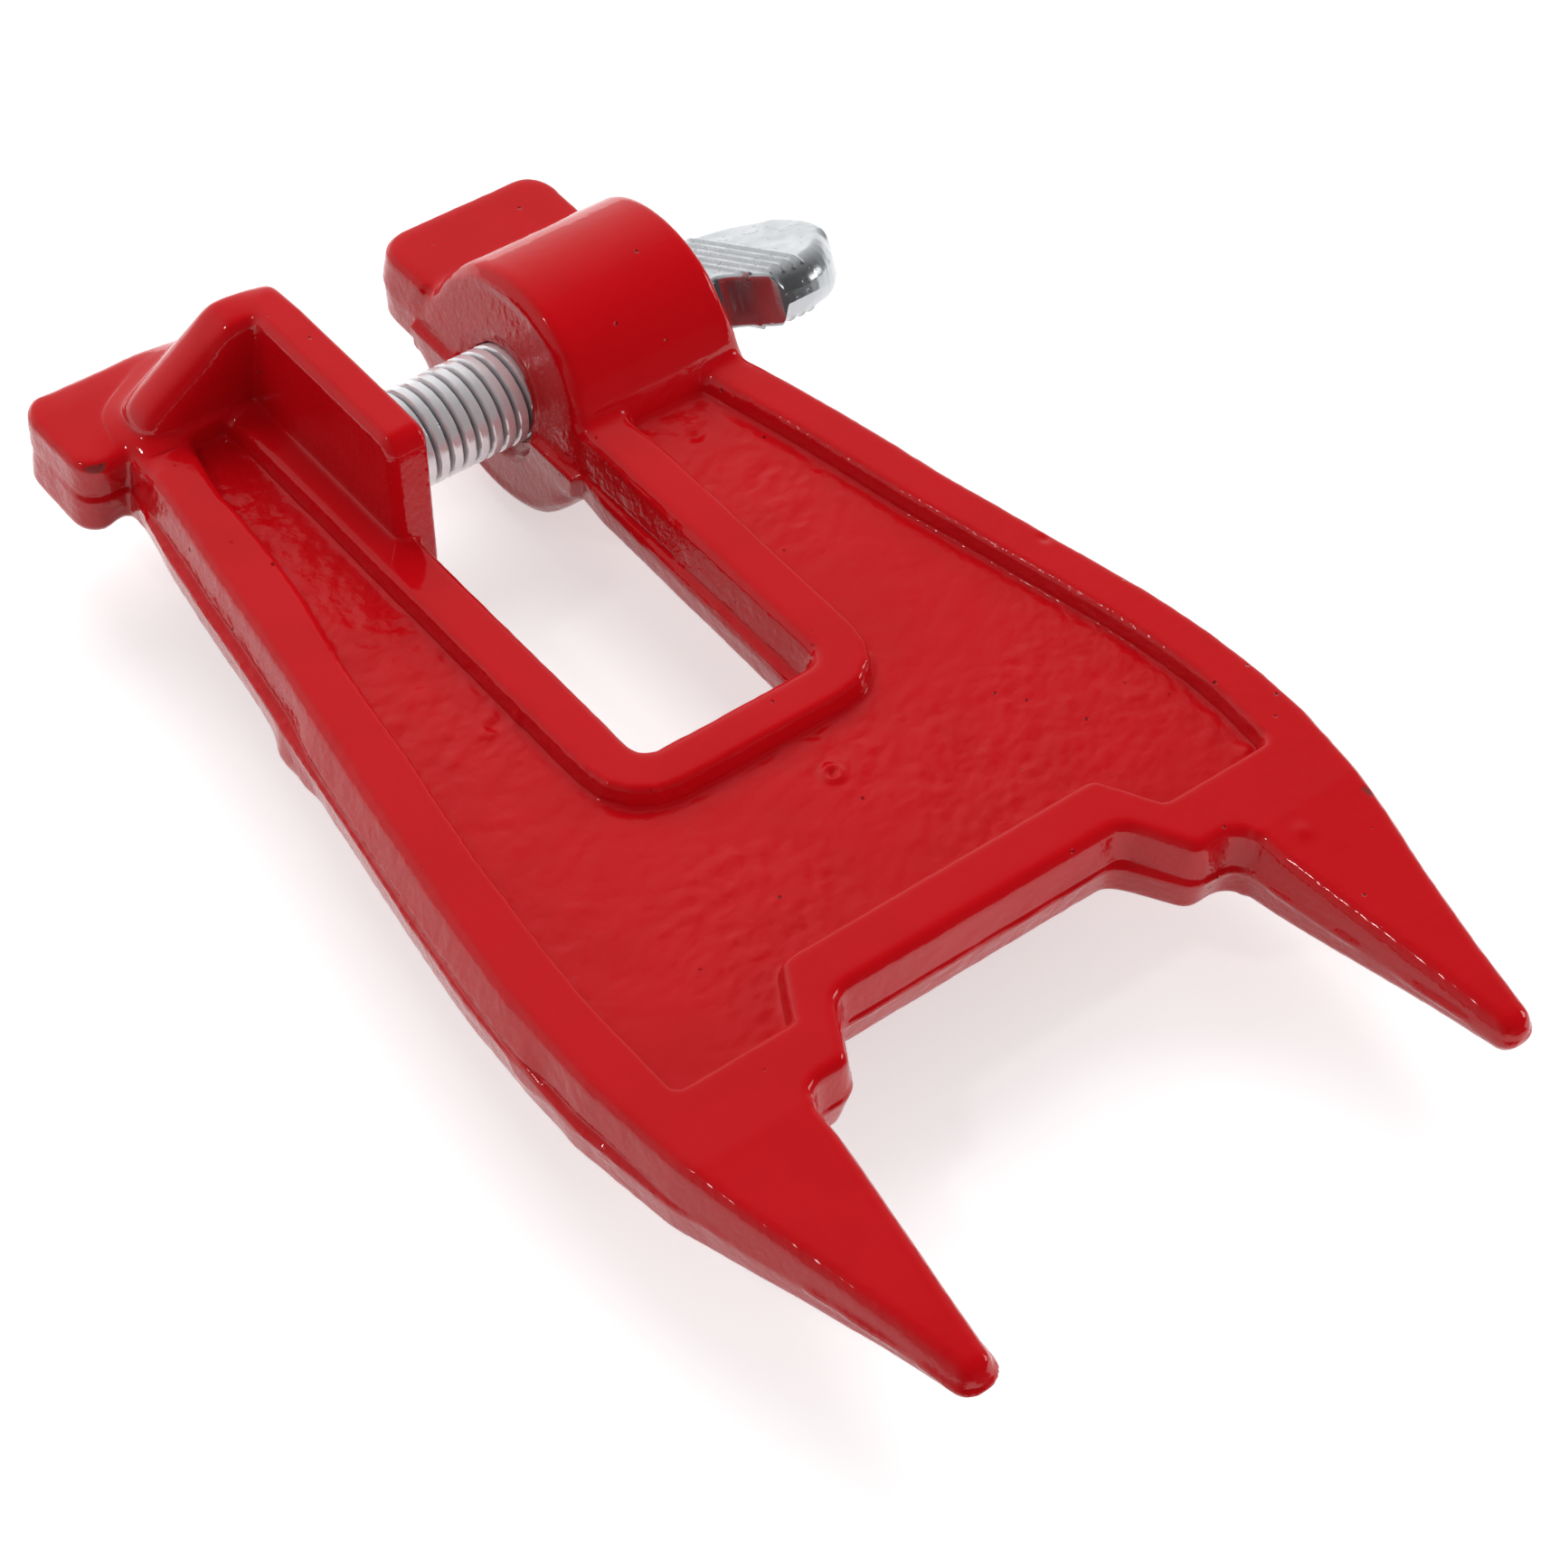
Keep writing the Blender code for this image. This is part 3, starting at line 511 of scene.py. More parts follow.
@dataclass(frozen=True)
class ZincPlate:
    """Bright zinc plate on steel or on a casting."""

    name: str  # The material's name
    colour: Triple = (0.76, 0.77, 0.78)  # The zinc's colour
    dull_colour: Triple = (0.56, 0.57, 0.60)  # Colour of its duller patches
    roughness: float = 0.16  # Gloss where it is brightest
    dull_roughness: float = 0.34  # Gloss where it is dullest
    cloud: float = 0.0035  # Size of the patches
    cloud_span: Pair = (0.38, 0.68)  # Noise values between which they set in
    grain: float = 0.00035  # Size of the surface grain
    grain_height: float = 0.000012  # Height of the surface grain
    metallic: float = 0.9  # Share of the surface that mirrors as metal; the rest is dull
    pit: float = 0.0009  # Grain size of its small dark pits, or 0 for none
    pit_span: Pair = (0.66, 0.74)  # Noise values between which a pit sets in
    pit_colour: Triple = (0.44, 0.44, 0.46)  # Colour of the pits
    pit_depth: float = 0.00003  # Their depth
    # Painted shade: a vertex value can paint the piece's hollows darker, in the hollow colour below.
    hollow_shade_attribute: str = ""  # Vertex value that darkens hollows, if the piece has one
    hollow_shade_colour: Triple = (0.26, 0.26, 0.27)  # Colour of those hollows

    def make(self) -> bpy.types.Material:
        """Build the zinc plate."""
        sheet = NodeSheet(self.name)
        clouds = sheet.stretch(sheet.noise(self.cloud, 3.0), self.cloud_span)
        colour = sheet.mix(clouds, self.colour, self.dull_colour)
        normal = sheet.bump(sheet.noise(self.grain, 3.0), self.grain_height)
        if self.pit:
            pits = sheet.stretch(sheet.noise(self.pit, 1.0), self.pit_span)
            colour = sheet.mix(pits, colour, self.pit_colour)
            normal = sheet.bump(pits, -self.pit_depth, normal)
        # Painted shade: the hollows are mixed towards the darker hollow colour.
        if self.hollow_shade_attribute:
            colour = sheet.mix(sheet.attribute(self.hollow_shade_attribute), colour, self.hollow_shade_colour)
        gloss = sheet.stretch(clouds, target=(self.roughness, self.dull_roughness))
        return sheet.finish(Metallic=self.metallic, Base_Color=colour, Roughness=gloss, Normal=normal)


# The painted casting.
@dataclass(frozen=True)
class Mark:
    """One flaw of the casting, placed on its surface."""

    x: float  # Place across the body, from its middle line
    y: float  # Place along the body, from the stump seat
    z: float  # Place above the parting plane
    radius: float  # How far the flaw reaches
    height: float  # How far it stands proud; negative for a pit
    blend: Blend = Blend.ROUND  # Its section

    def lift(self, local: np.ndarray) -> np.ndarray:
        """Work out how far the flaw lifts each vertex.

        Args:
            local: Vertex places in the casting's own axes.

        Returns:
            One lift per vertex.
        """
        distance = np.linalg.norm(local - np.array([self.x, self.y, self.z]), axis=1)
        if self.blend is Blend.RIDGE:
            ring = bell(distance - self.radius * 0.65, self.radius * 0.35)
            return self.height * (ring - 0.6 * bell(distance, self.radius * 0.4))
        return self.height * bell(distance, self.radius)


@dataclass(frozen=True)
class Chip:
    """A streak where the paint is knocked off, in the casting's axes."""

    start: Triple  # One end of the streak
    end: Triple  # Its other end
    radius: float  # Half its width

    def distance(self, local: np.ndarray) -> np.ndarray:
        """Give each vertex's distance from the streak, in radii."""
        start = np.array(self.start)
        run = np.array(self.end) - start
        share = np.clip((local - start) @ run / (run @ run), 0.0, 1.0)
        return np.linalg.norm(local - start - share[:, None] * run, axis=1) / self.radius


# The flaws that the photograph shows, and where the paint is knocked off.
CASTING_FLAWS = [
    Mark(-0.0440, 0.0686, -0.0046, 0.0030, 0.0013),
    Mark(-0.0445, 0.0640, -0.0044, 0.0022, 0.0006),
    Mark(0.0006, 0.0264, 0.00245, 0.0015, 0.00040, Blend.RIDGE),
    Mark(-0.0273, 0.0531, 0.00245, 0.0009, 0.00025),
    Mark(-0.0260, 0.0540, 0.00245, 0.0008, -0.00030),
    Mark(-0.0237, 0.0527, 0.0035, 0.0008, 0.00035),
    Mark(0.0126, 0.0852, 0.00515, 0.0007, -0.00045),
    Mark(0.0139, 0.0846, 0.00515, 0.0005, -0.00040),
    Mark(0.0431, 0.0390, 0.00515, 0.0007, -0.00035),
    Mark(0.0415, 0.0020, 0.00245, 0.0009, 0.00030),
    Mark(0.0220, 0.0778, 0.00245, 0.0008, -0.00030),
    Mark(-0.0503, 0.0146, 0.0, 0.0026, 0.0006),
    Mark(0.0362, -0.0118, 0.00515, 0.0010, 0.00025),
    Mark(0.0066, 0.0902, 0.0, 0.0010, 0.0006),
]
PAINT_CHIPS = [Chip((-0.0421, 0.1130, 0.0046), (-0.0398, 0.1122, 0.0046), 0.0005),
               Chip((-0.0416, 0.1240, 0.0047), (-0.0418, 0.1222, 0.0042), 0.0005),
               Chip((0.0463, -0.0113, 0.0047), (0.0464, -0.0120, 0.0047), 0.0005)]

# Noises on the casting and on the wing: grain, seed, octaves and height.
FLOOR_GRAIN = LatticeNoise(0.0028, 3, 2, 0.000070)
LUMP_PATCHES = LatticeNoise(0.018, 9)
LUMP_GRAIN = LatticeNoise(0.0019, 5, 2, 0.000120)
FINE_GRAIN = LatticeNoise(0.0011, 7, 1, 0.000040)
SIDE_GRAIN = LatticeNoise(0.0032, 11, 3, 0.000055)
WALL_GRAIN = LatticeNoise(0.0017, 15, 2, 0.000055)
SKIN_WAVES = LatticeNoise(0.012, 13, 2, 0.000045)
FLASH_WANDER = LatticeNoise(0.007, 21, 2, 0.00022)
FLASH_PATCHES = LatticeNoise(0.006, 23, 2)
CHIP_CRUMBLE = LatticeNoise(0.0009, 31, 2, 0.45)
WING_GRAIN = LatticeNoise(0.0022, 41, 2, 0.00002)


@dataclass
class PaintedCasting:
    """The vise's one-piece casting under thick paint."""

    node: str = "vise_body"  # CAD node that it stands for
    voxel: float = 0.00032  # Grain of the new skin
    paint_passes: int = 4  # How often the skin is smoothed as a whole, which rounds its edges
    fillet_passes: int = 240  # How often the big fillets are smoothed on top of that
    boss_share: float = 0.28  # How strongly the boss's fillets are smoothed
    corner_share: float = 0.25  # How strongly the jaw's corner is
    least_weight: float = 0.02  # Smoothing up to this is left out
    # Middles of the spikes' round tips, in the casting's axes
    tip_balls: tuple = ((-0.0382, -0.0430, 0.0), (0.0385, -0.0430, 0.0))
    tip_radius: float = 0.0022  # Their radius
    rim: float = 0.00515  # Half the rim's thickness
    screw_line: float = 0.0991  # Stump seat to the screw's axis
    bore_keep: float = 0.0072  # Radius about the screw's axis that stays as it is
    grip_face: float = -0.01355  # Middle line to the jaw's gripping face
    grip_flat: float = 0.85  # How much flatter than the rest that face is
    boss_start: float = 0.00865  # Middle line to the boss's front face
    boss_end: float = 0.03475  # Middle line to the boss's far face
    boss_radius: float = 0.0158  # The boss's radius
    boss_crown: float = 0.00035  # How far the paint and draft make the boss's top fuller
    coat: float = 0.00010  # Thickness that the paint adds all round
    side_coat: float = 0.00010  # Thickness that it adds on the sides besides
    spike_rise: float = 0.0011  # How far the spikes bend up at their tips
    spike_lean: float = 0.0004  # How far the right spike's tip bends inwards
    left_trim: float = 0.0009  # How much shorter the left spike's tip is
    slot_shift: float = 0.0004  # How far the slot's lower right edge stands in
    flank_swell: float = 0.0003  # How far the left flank's lower half stands out
    ledge: float = 0.0010  # Width of the ledge between the mould halves
    ledge_left: float = 0.10  # Share of it that still shows where the left flank is flush
    ledge_step: float = 0.0005  # Length over which that flank's outline is read
    bore_coat: float = 0.00020  # Thickness of the paint that has run into the bore
    boss_shift: float = -0.0012  # How far the boss's lower half is out of line
    # Seat to where the end blocks start, and to where they are whole
    ends: Pair = (0.1065, 0.1100)
    end_draft: float = 0.00075  # Draft that the end blocks lack
    flash_height: float = 0.00042  # Height of the flash along the parting line
    flash_width: float = 0.00040  # Its width
    flash_worn: float = 0.75  # Share of it that the end blocks lack
    chip_depth: float = 0.00006  # Depth of a chip in the paint
    marks: list[Mark] = field(default_factory=list)  # Flaws of the surface
    chips: list[Chip] = field(default_factory=list)  # Places where the paint is chipped

    def build(self, source: bpy.types.Object) -> bpy.types.Object:
        """Make the skin.

        Args:
            source: The CAD casting.

        Returns:
            The finished object.
        """
        build = bmesh.new()
        build.from_mesh(source.data)
        for place in self.tip_balls:
            ball = bmesh.ops.create_icosphere(build, subdivisions=4, radius=self.tip_radius)
            bmesh.ops.translate(build, verts=ball["verts"], vec=CASTING_ORIGIN + Vector(place))
        rough = new_object("casting_blank", mesh_from("casting_blank", build))
        skin_over(rough, self.voxel)
        soften(rough, self.paint_passes)
        mesh = self.fillets(baked(rough, "painted_casting"))
        self.work(mesh, *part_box(self.node))
        mesh.materials.append(RedCastingPaint().make())
        return new_object("painted_casting", mesh)

    def measure(self, points: np.ndarray) -> tuple[np.ndarray, np.ndarray, np.ndarray]:
        """Measure where points lie on the casting.

        Args:
            points: Places in the row frame.

        Returns:
            Places in the casting's own axes, heights from the parting plane on both sides, and
            distances from the screw's axis.
        """
        local = points - np.array(CASTING_ORIGIN)
        return local, np.abs(local[:, 2]), np.hypot(local[:, 1] - self.screw_line, local[:, 2])

    def fillets(self, mesh: bpy.types.Mesh) -> bpy.types.Mesh:
        """Round the junctions at the boss and the buttress more than the rest.

        Args:
            mesh: The skin so far.

        Returns:
            The skin with its big fillets.
        """
        local, height, on_axis = self.measure(Skin.of(mesh).points)
        x, y, _ = local.T
        off_boss = on_axis - self.boss_radius
        boss_foot = bell(height - self.rim, 0.0030) * bell(off_boss, 0.0042)
        boss_foot *= band(0.0100, 0.0125, 0.0325, 0.0350, x)
        above = smoothstep(self.rim - 0.0010, self.rim + 0.0010, height)
        front_rim = bell(x - self.boss_start - 0.0014, 0.0024) * bell(off_boss, 0.0026)
        far_rim = 0.4 * bell(x - self.boss_end + 0.0010, 0.0016) * bell(off_boss, 0.0018)
        face = band(0.0075, 0.0095, 0.0096, 0.0108, x) * band(0.0074, 0.0088, 0.0160, 0.0175, on_axis)
        face *= smoothstep(0.0085, 0.0070, height)
        buttress = band(-0.0400, -0.0375, -0.0205, -0.0185, x) * smoothstep(0.1060, 0.1100, y)
        buttress *= smoothstep(0.0036, 0.0054, height) * (0.3 + 0.7 * smoothstep(0.0170, 0.0140, height))
        jaw_corner = smoothstep(0.0, -0.005, x) * smoothstep(0.1075, 0.1125, y)
        jaw_corner *= smoothstep(0.0100, 0.0150, height)
        weight = self.boss_share * (boss_foot + (front_rim + far_rim) * above + face)
        weight = np.clip(weight + np.maximum(buttress, self.corner_share * jaw_corner), 0.0, 1.0)
        carrier = new_object("casting_fillets", mesh)
        group = carrier.vertex_groups.new(name="big_fillets")
        for index in np.nonzero(weight > self.least_weight)[0]:
            group.add([int(index)], float(weight[index]), "REPLACE")
        soften(carrier, self.fillet_passes, group.name)
        return baked(carrier, "painted_casting")

    def flush_side(self, local: np.ndarray) -> np.ndarray:
        """Work out how far the left flank's upper half leans out to the parting line.

        Args:
            local: Vertex places in the casting's own axes.

        Returns:
            One distance outwards per vertex.
        """
        x, y, z = local.T
        slot = ((y - y.min()) / self.ledge_step).astype(int)
        outermost = np.zeros(slot.max() + 1)
        lower = (z < -0.0002) & (z > -0.0009)
        np.minimum.at(outermost, slot[lower], x[lower])
        middles = y.min() + self.ledge_step * (np.arange(len(outermost)) + 0.5)
        inward = x - np.interp(y, middles, outermost)
        share = np.clip(inward / self.ledge, 0.0, 1.0) * np.clip(1.0 - z / self.rim, 0.0, 1.0)
        share *= smoothstep(-0.0004, 0.0, z) * smoothstep(0.0040, 0.0030, inward)
        share *= band(0.012, 0.020, 0.062, 0.070, y)
        return (1.0 - self.ledge_left) * self.ledge * share

    def work(self, mesh: bpy.types.Mesh, low: Vector, high: Vector) -> None:
        """Give the skin its casting texture, flash, flaws and chips.

        Args:
            mesh: The skin, changed in place.
            low: Lowest corner that the skin may reach.
            high: Highest corner that the skin may reach.
        """
        skin = Skin.of(mesh)
        local, height, on_axis = self.measure(skin.points)
        x, y, z = local.T
        upright = np.abs(skin.normals[:, 2])
        keep = smoothstep(self.bore_keep, self.bore_keep + 0.0012, on_axis)
        keep = np.where((x < 0.006) | (x > 0.040), 1.0, keep)
        grip = smoothstep(0.4, 0.8, skin.normals[:, 0]) * smoothstep(0.078, 0.080, y)
        grip *= smoothstep(0.0022, 0.0012, np.abs(x - self.grip_face))
        keep *= 1.0 - self.grip_flat * grip
        above_seat = smoothstep(-0.008, -0.001, y)
        side = smoothstep(0.55, 0.25, upright)
        floor = smoothstep(0.75, 0.95, upright) * above_seat
        floor *= smoothstep(self.rim - 0.0004, self.rim - 0.0012, height)
        wall = smoothstep(0.985, 0.80, upright) * above_seat
        wall *= smoothstep(self.rim + 0.0006, self.rim - 0.0002, height)
        lumpy = np.maximum(smoothstep(-0.20, 0.40, LUMP_PATCHES.at(skin.points)),
                           smoothstep(-0.012, -0.020, x) * smoothstep(0.040, 0.052, y))
        on_face = band(0.0060, 0.0075, 0.0096, 0.0112, x) * smoothstep(0.0175, 0.0160, on_axis)

        lift = self.coat + self.side_coat * side
        for share, grain in ((floor, FLOOR_GRAIN), (floor * lumpy, LUMP_GRAIN),
                             (floor * (0.3 + lumpy), FINE_GRAIN),
                             (side * (1.0 - 0.7 * on_face), SIDE_GRAIN),
                             (wall * (1.0 - 0.6 * on_face), WALL_GRAIN), (1.0, SKIN_WAVES)):
            lift += share * grain.at(skin.points)
        off_boss = on_axis - self.boss_radius
        turned = smoothstep(0.0070, 0.0095, height) * smoothstep(-0.0007, -0.0003, off_boss)
        turned *= smoothstep(self.boss_start + 0.0016, self.boss_start + 0.0036, x)
        turned *= smoothstep(self.boss_end - 0.0012, self.boss_end - 0.0028, x)
        lift -= turned * off_boss
        crown = smoothstep(0.010, 0.014, height) * smoothstep(0.013, 0.0150, on_axis)
        lift += self.boss_crown * crown * smoothstep(0.007, 0.010, x)

        flash = side * bell(z - FLASH_WANDER.at(skin.points), self.flash_width)
        flash *= smoothstep(-0.35, 0.55, FLASH_PATCHES.at(skin.points))
        lift += self.flash_height * flash * (1.0 - self.flash_worn * smoothstep(*self.ends, y))
        for mark in self.marks:
            lift += mark.lift(local)
        chip = np.zeros(len(local))
        crumble = CHIP_CRUMBLE.at(skin.points)
        for streak in self.chips:
            chip = np.maximum(chip, smoothstep(1.0, 0.7, streak.distance(local) + crumble))
        lift -= chip * self.chip_depth
        skin.points += skin.normals * (lift * keep)[:, None]
        self.bend(skin, local, keep)
        skin.points = np.clip(skin.points, np.array(low), np.array(high))
        skin.write()
        skin.store("rough_cast", np.clip(side * 0.9 + floor * (0.35 + 0.35 * lumpy), 0.0, 1.0))
        skin.store("chip", chip)

    def bend(self, skin: Skin, local: np.ndarray, keep: np.ndarray) -> None:
        """Move the skin where the real casting stands off its plain form.

        Args:
            skin: The skin, changed in place.
            local: Vertex places before any move, in the casting's own axes.
            keep: How much each vertex may move near the bore and the grip.
        """
        x, y, z = local.T
        _, height, on_axis = self.measure(local + np.array(CASTING_ORIGIN))
        points, across = skin.points, skin.normals[:, 0]
        in_bore = smoothstep(0.0060, 0.0075, x)
        radial = np.stack([np.zeros_like(x), y - self.screw_line, z], axis=1)
        run_in = self.bore_coat * in_bore * smoothstep(0.0078, 0.0070, on_axis)
        points -= radial * (run_in / np.maximum(on_axis, TINY))[:, None]
        to_tip = smoothstep(-0.008, -0.043, y)
        points[:, 2] += self.spike_rise * to_tip
        points[:, 0] -= self.spike_lean * to_tip * smoothstep(0.0, 0.010, x)
        points[:, 0] -= self.flush_side(local)
        points[:, 1] += self.left_trim * smoothstep(-0.028, -0.043, y) * smoothstep(0.0, -0.010, x)
        flank = smoothstep(0.0004, -0.0006, z) * smoothstep(-0.2, -0.6, across)
        flank *= smoothstep(-0.018, -0.022, x) * band(0.016, 0.026, 0.098, 0.104, y)
        points[:, 0] -= self.flank_swell * flank
        slot = smoothstep(0.0, -0.0012, z) * smoothstep(-0.3, -0.7, across)
        slot *= band(0.004, 0.006, 0.012, 0.014, x) * band(0.036, 0.044, 0.077, 0.083, y)
        points[:, 0] -= self.slot_shift * slot

        # The end blocks have next to no draft, so their sides are pushed out towards both faces.
        level = skin.normals[:, :2]
        slope = np.linalg.norm(level, axis=1)
        push = self.end_draft * smoothstep(*self.ends, y) * np.clip(height / self.rim, 0.0, 1.0)
        push *= smoothstep(0.05, 0.30, slope)
        push *= smoothstep(self.rim + 0.0012, self.rim + 0.0003, height)
        left = smoothstep(-0.020, -0.026, x) + 0.6 * smoothstep(-0.035, -0.043, x)
        right = 0.6 * smoothstep(0.0002, 0.0020, on_axis - self.boss_radius)
        push *= np.where(x < 0.0, left, right)
        points[:, :2] += level / np.maximum(slope, TINY)[:, None] * push[:, None]

        lower = smoothstep(0.0, -0.0006, z) * smoothstep(0.0171, 0.0165, on_axis)
        lower *= in_bore * smoothstep(0.120, 0.1155, y)
        points[:, 0] += self.boss_shift * lower * keep


# The screw, its pad and its wing.
@dataclass
class ThreadedStem:
    """The clamping screw's stem, with rolled threads."""

    node: str = "clamp_screw"  # CAD node that it stands for
    crest_radius: float = 0.00635  # Radius over the crests
    pitch: float = 0.001954  # Distance from thread to thread
    depth: float = 0.00085  # Height of the threads
    crest_share: float = 0.58  # Share of the pitch that the flat crest takes
    root_share: float = 0.04  # Share that the groove's floor takes
    sides: int = 72  # Sides round the stem
    rows: int = 16  # Rows in each pitch
    chamfer: float = 0.0009  # Length of the run-out at each end
    spigot_radius: float = 0.0022  # Radius of the plain end under the wing
    neck_radius: float = 0.0026  # Radius of the neck that the pad turns on
    button_radius: float = 0.0037  # Radius of the button at its end
    start: float = 0.0049  # Jaw face to the thread's start
    plain_end: float = 0.0095  # Length beyond the thread, under the wing
    overlap: float = 0.0004  # How far the plain ends reach into the thread

    def profile(self, phase: np.ndarray) -> np.ndarray:
        """Give the thread's height round one turn.

        Args:
            phase: Place in the pitch, 0 to 1, with the crest's middle at 0.

        Returns:
            Heights from 0 in the groove to 1 on the crest.
        """
        from_crest = np.minimum(phase, 1.0 - phase)
        return smoothstep(0.5 - self.root_share / 2, self.crest_share / 2, from_crest)

    def build(self, low: Vector, high: Vector) -> bpy.types.Object:
        """Make the stem where the CAD screw is.

        Args:
            low: Lowest corner of the CAD screw.
            high: Highest corner of the CAD screw.

        Returns:
            The finished object.
        """
        centre = Vector((0, (low.y + high.y) / 2, (low.z + high.z) / 2))
        nose = JAW_FACE + self.start
        shoulder = high.x - self.plain_end
        rows = int((shoulder - nose) / self.pitch * self.rows) + 1
        places = np.linspace(nose, shoulder, rows)
        build = bmesh.new()
        groove = []
        rings = []
        for x in places:
            ends = min(x - nose, shoulder - x)
            limit = self.crest_radius - self.chamfer + ends
            angles = 2 * math.pi * np.arange(self.sides) / self.sides
            phase = ((x - nose) / self.pitch - angles / (2 * math.pi)) % 1.0
            share = self.profile(phase)
            radius = np.minimum(self.crest_radius - self.depth * (1 - share), limit)
            ring = []
            for angle, reach in zip(angles, radius):
                ring.append(build.verts.new((x, centre.y + reach * math.cos(angle),
                                             centre.z + reach * math.sin(angle))))
            # Painted shade: the groove value, 1 in the thread's grooves, later darkens them in the zinc
            # plate.
            groove.extend(1.0 - share)
            rings.append(ring)
        for lower, upper in zip(rings, rings[1:]):
            for index in range(self.sides):
                following = (index + 1) % self.sides
                build.faces.new((lower[index], lower[following], upper[following], upper[index]))
        build.faces.new(list(reversed(rings[0])))
        build.faces.new(rings[-1])
        thread = build.verts.layers.float.new("groove")
        build.verts.ensure_lookup_table()
        for vert, value in zip(build.verts, groove):
            vert[thread] = value
        neck, spigot = nose + self.overlap, shoulder - self.overlap
        revolve(build, [(neck, 0), (neck, self.neck_radius), (low.x + 0.0014, self.neck_radius),
                        (low.x + 0.0014, self.button_radius), (low.x + 0.0002, self.button_radius),
                        (low.x, self.button_radius - 0.0002), (low.x, 0)], 48, centre)
        revolve(build, [(spigot, 0), (spigot, self.spigot_radius),
                        (high.x - 0.0003, self.spigot_radius),
                        (high.x, self.spigot_radius - 0.0003), (high.x, 0)], 48, centre)
        mesh = mesh_from("rolled_thread_stem", build)
        mesh.set_sharp_from_angle(angle=math.radians(50))
        # The groove value paints shade into the thread's grooves through the plate's hollow colour.
        plate = ZincPlate("zinc_thread_plate", colour=(0.96, 0.98, 1.00), dull_colour=(0.86, 0.89, 0.92),
                          roughness=0.15, dull_roughness=0.26, metallic=0.50, pit=0.0,
                          hollow_shade_attribute="groove")
        mesh.materials.append(plate.make())
        return new_object("rolled_thread_stem", mesh)


@dataclass
class SwivelPad:
    """Round pad rolled over the screw's button."""

    node: str = "pressure_pad"  # CAD node that it stands for
    radius: float = 0.0070  # Outer radius
    edge: float = 0.0006  # Rounding of its edges
    sides: int = 96  # Sides of the turned shape

    def build(self, low: Vector, high: Vector) -> bpy.types.Object:
        """Make the pad where the CAD pad is.

        Args:
            low: Lowest corner of the CAD pad.
            high: Highest corner of the CAD pad.

        Returns:
            The finished object.
        """
        centre = Vector((0, (low.y + high.y) / 2, (low.z + high.z) / 2))
        face, back = low.x, high.x
        cavity_back = back - 0.0009
        cavity_face = cavity_back - 0.0020
        profile = [(face, 0), (face, self.radius * 0.45), (face + 0.00008, self.radius * 0.5),
                   (face, self.radius * 0.55)]
        for step in range(7):
            turn = math.pi / 2 * step / 6
            profile.append((face + self.edge * (1 - math.cos(turn)),
                            self.radius - self.edge * (1 - math.sin(turn))))
        profile += [(cavity_face, self.radius), (cavity_back, self.radius - 0.0002),
                    (back - 0.0004, self.radius - 0.0008), (back, self.radius - 0.0019),
                    (back, 0.0032), (back - 0.0002, 0.0029), (cavity_back, 0.0029),
                    (cavity_back, 0.0040), (cavity_face, 0.0040), (cavity_face, 0)]
        build = bmesh.new()
        revolve(build, profile, self.sides, centre)
        mesh = mesh_from("rolled_swivel_pad", build)
        mesh.set_sharp_from_angle(angle=math.radians(40))
        plate = ZincPlate("zinc_pad_plate", dull_colour=(0.45, 0.45, 0.47), roughness=0.24,
                          dull_roughness=0.42)
        mesh.materials.append(plate.make())
        return new_object("rolled_swivel_pad", mesh)


@dataclass
class CastWing:
    """The wing that turns the screw."""

    node: str = "wing_handle"  # CAD node that it stands for
    voxel: float = 0.00015  # Grain of its skin
    passes: int = 3  # How often it is smoothed
    turn: float = -30.0  # Angle of the slab about the screw, at rest, in degrees
    bead: float = 0.0034  # How far in from the long edges their rounding starts
    bead_start: float = 0.0066  # Wing's near end to where the rounding starts
    flat_end: float = 0.0024  # Length of the square tip that stays flat

    def build(self, source: bpy.types.Object) -> bpy.types.Object:
        """Make the wing from its CAD solid.

        Args:
            source: The CAD wing.

        Returns:
            The finished object.
        """
        blank = new_object("wing_blank", source.data.copy())
        skin_over(blank, self.voxel)
        soften(blank, self.passes)
        mesh = baked(blank, "cast_wing")
        skin = Skin.of(mesh)
        self.round_edges(skin, *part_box(self.node))
        skin.write()
        skin = Skin.of(mesh)
        skin.points += skin.normals * WING_GRAIN.at(skin.points)[:, None]
        skin.write()
        mesh.shade_smooth()
        plate = ZincPlate("zinc_wing_plate", colour=(0.53, 0.55, 0.57), dull_colour=(0.47, 0.49, 0.51),
                          roughness=0.20, dull_roughness=0.28)
        mesh.materials.append(plate.make())
        return new_object("cast_wing", mesh)

    def round_edges(self, skin: Skin, low: Vector, high: Vector) -> None:
        """Give the long edges of the slab their full round bead.

        Args:
            skin: The wing's skin, changed in place.
            low: Lowest corner of the CAD wing.
            high: Highest corner of the CAD wing.
        """
        turn = math.radians(self.turn)
        x = skin.points[:, 0]
        y = skin.points[:, 1] - (low.y + high.y) / 2
        z = skin.points[:, 2] - (low.z + high.z) / 2
        across = y * math.cos(turn) + z * math.sin(turn)
        through = z * math.cos(turn) - y * math.sin(turn)
        step = 0.0003
        slot = ((x - x.min()) / step).astype(int)
        reach = np.zeros(slot.max() + 1)
        np.maximum.at(reach, slot, np.abs(across))
        limit = np.interp(x, x.min() + step * (np.arange(len(reach)) + 0.5), reach)
        inward = np.clip((np.abs(across) - limit + self.bead) / self.bead, 0.0, 1.0)
        share = smoothstep(low.x + self.bead_start, low.x + self.bead_start + 0.0012, x)
        share *= smoothstep(high.x - self.flat_end + 0.0010, high.x - self.flat_end - 0.0008, x)
        through *= 1.0 + share * (np.sqrt(1.0 - 0.95 * inward ** 2) - 1.0)
        skin.points[:, 1] = across * math.cos(turn) - through * math.sin(turn) + (low.y + high.y) / 2
        skin.points[:, 2] = across * math.sin(turn) + through * math.cos(turn) + (low.z + high.z) / 2


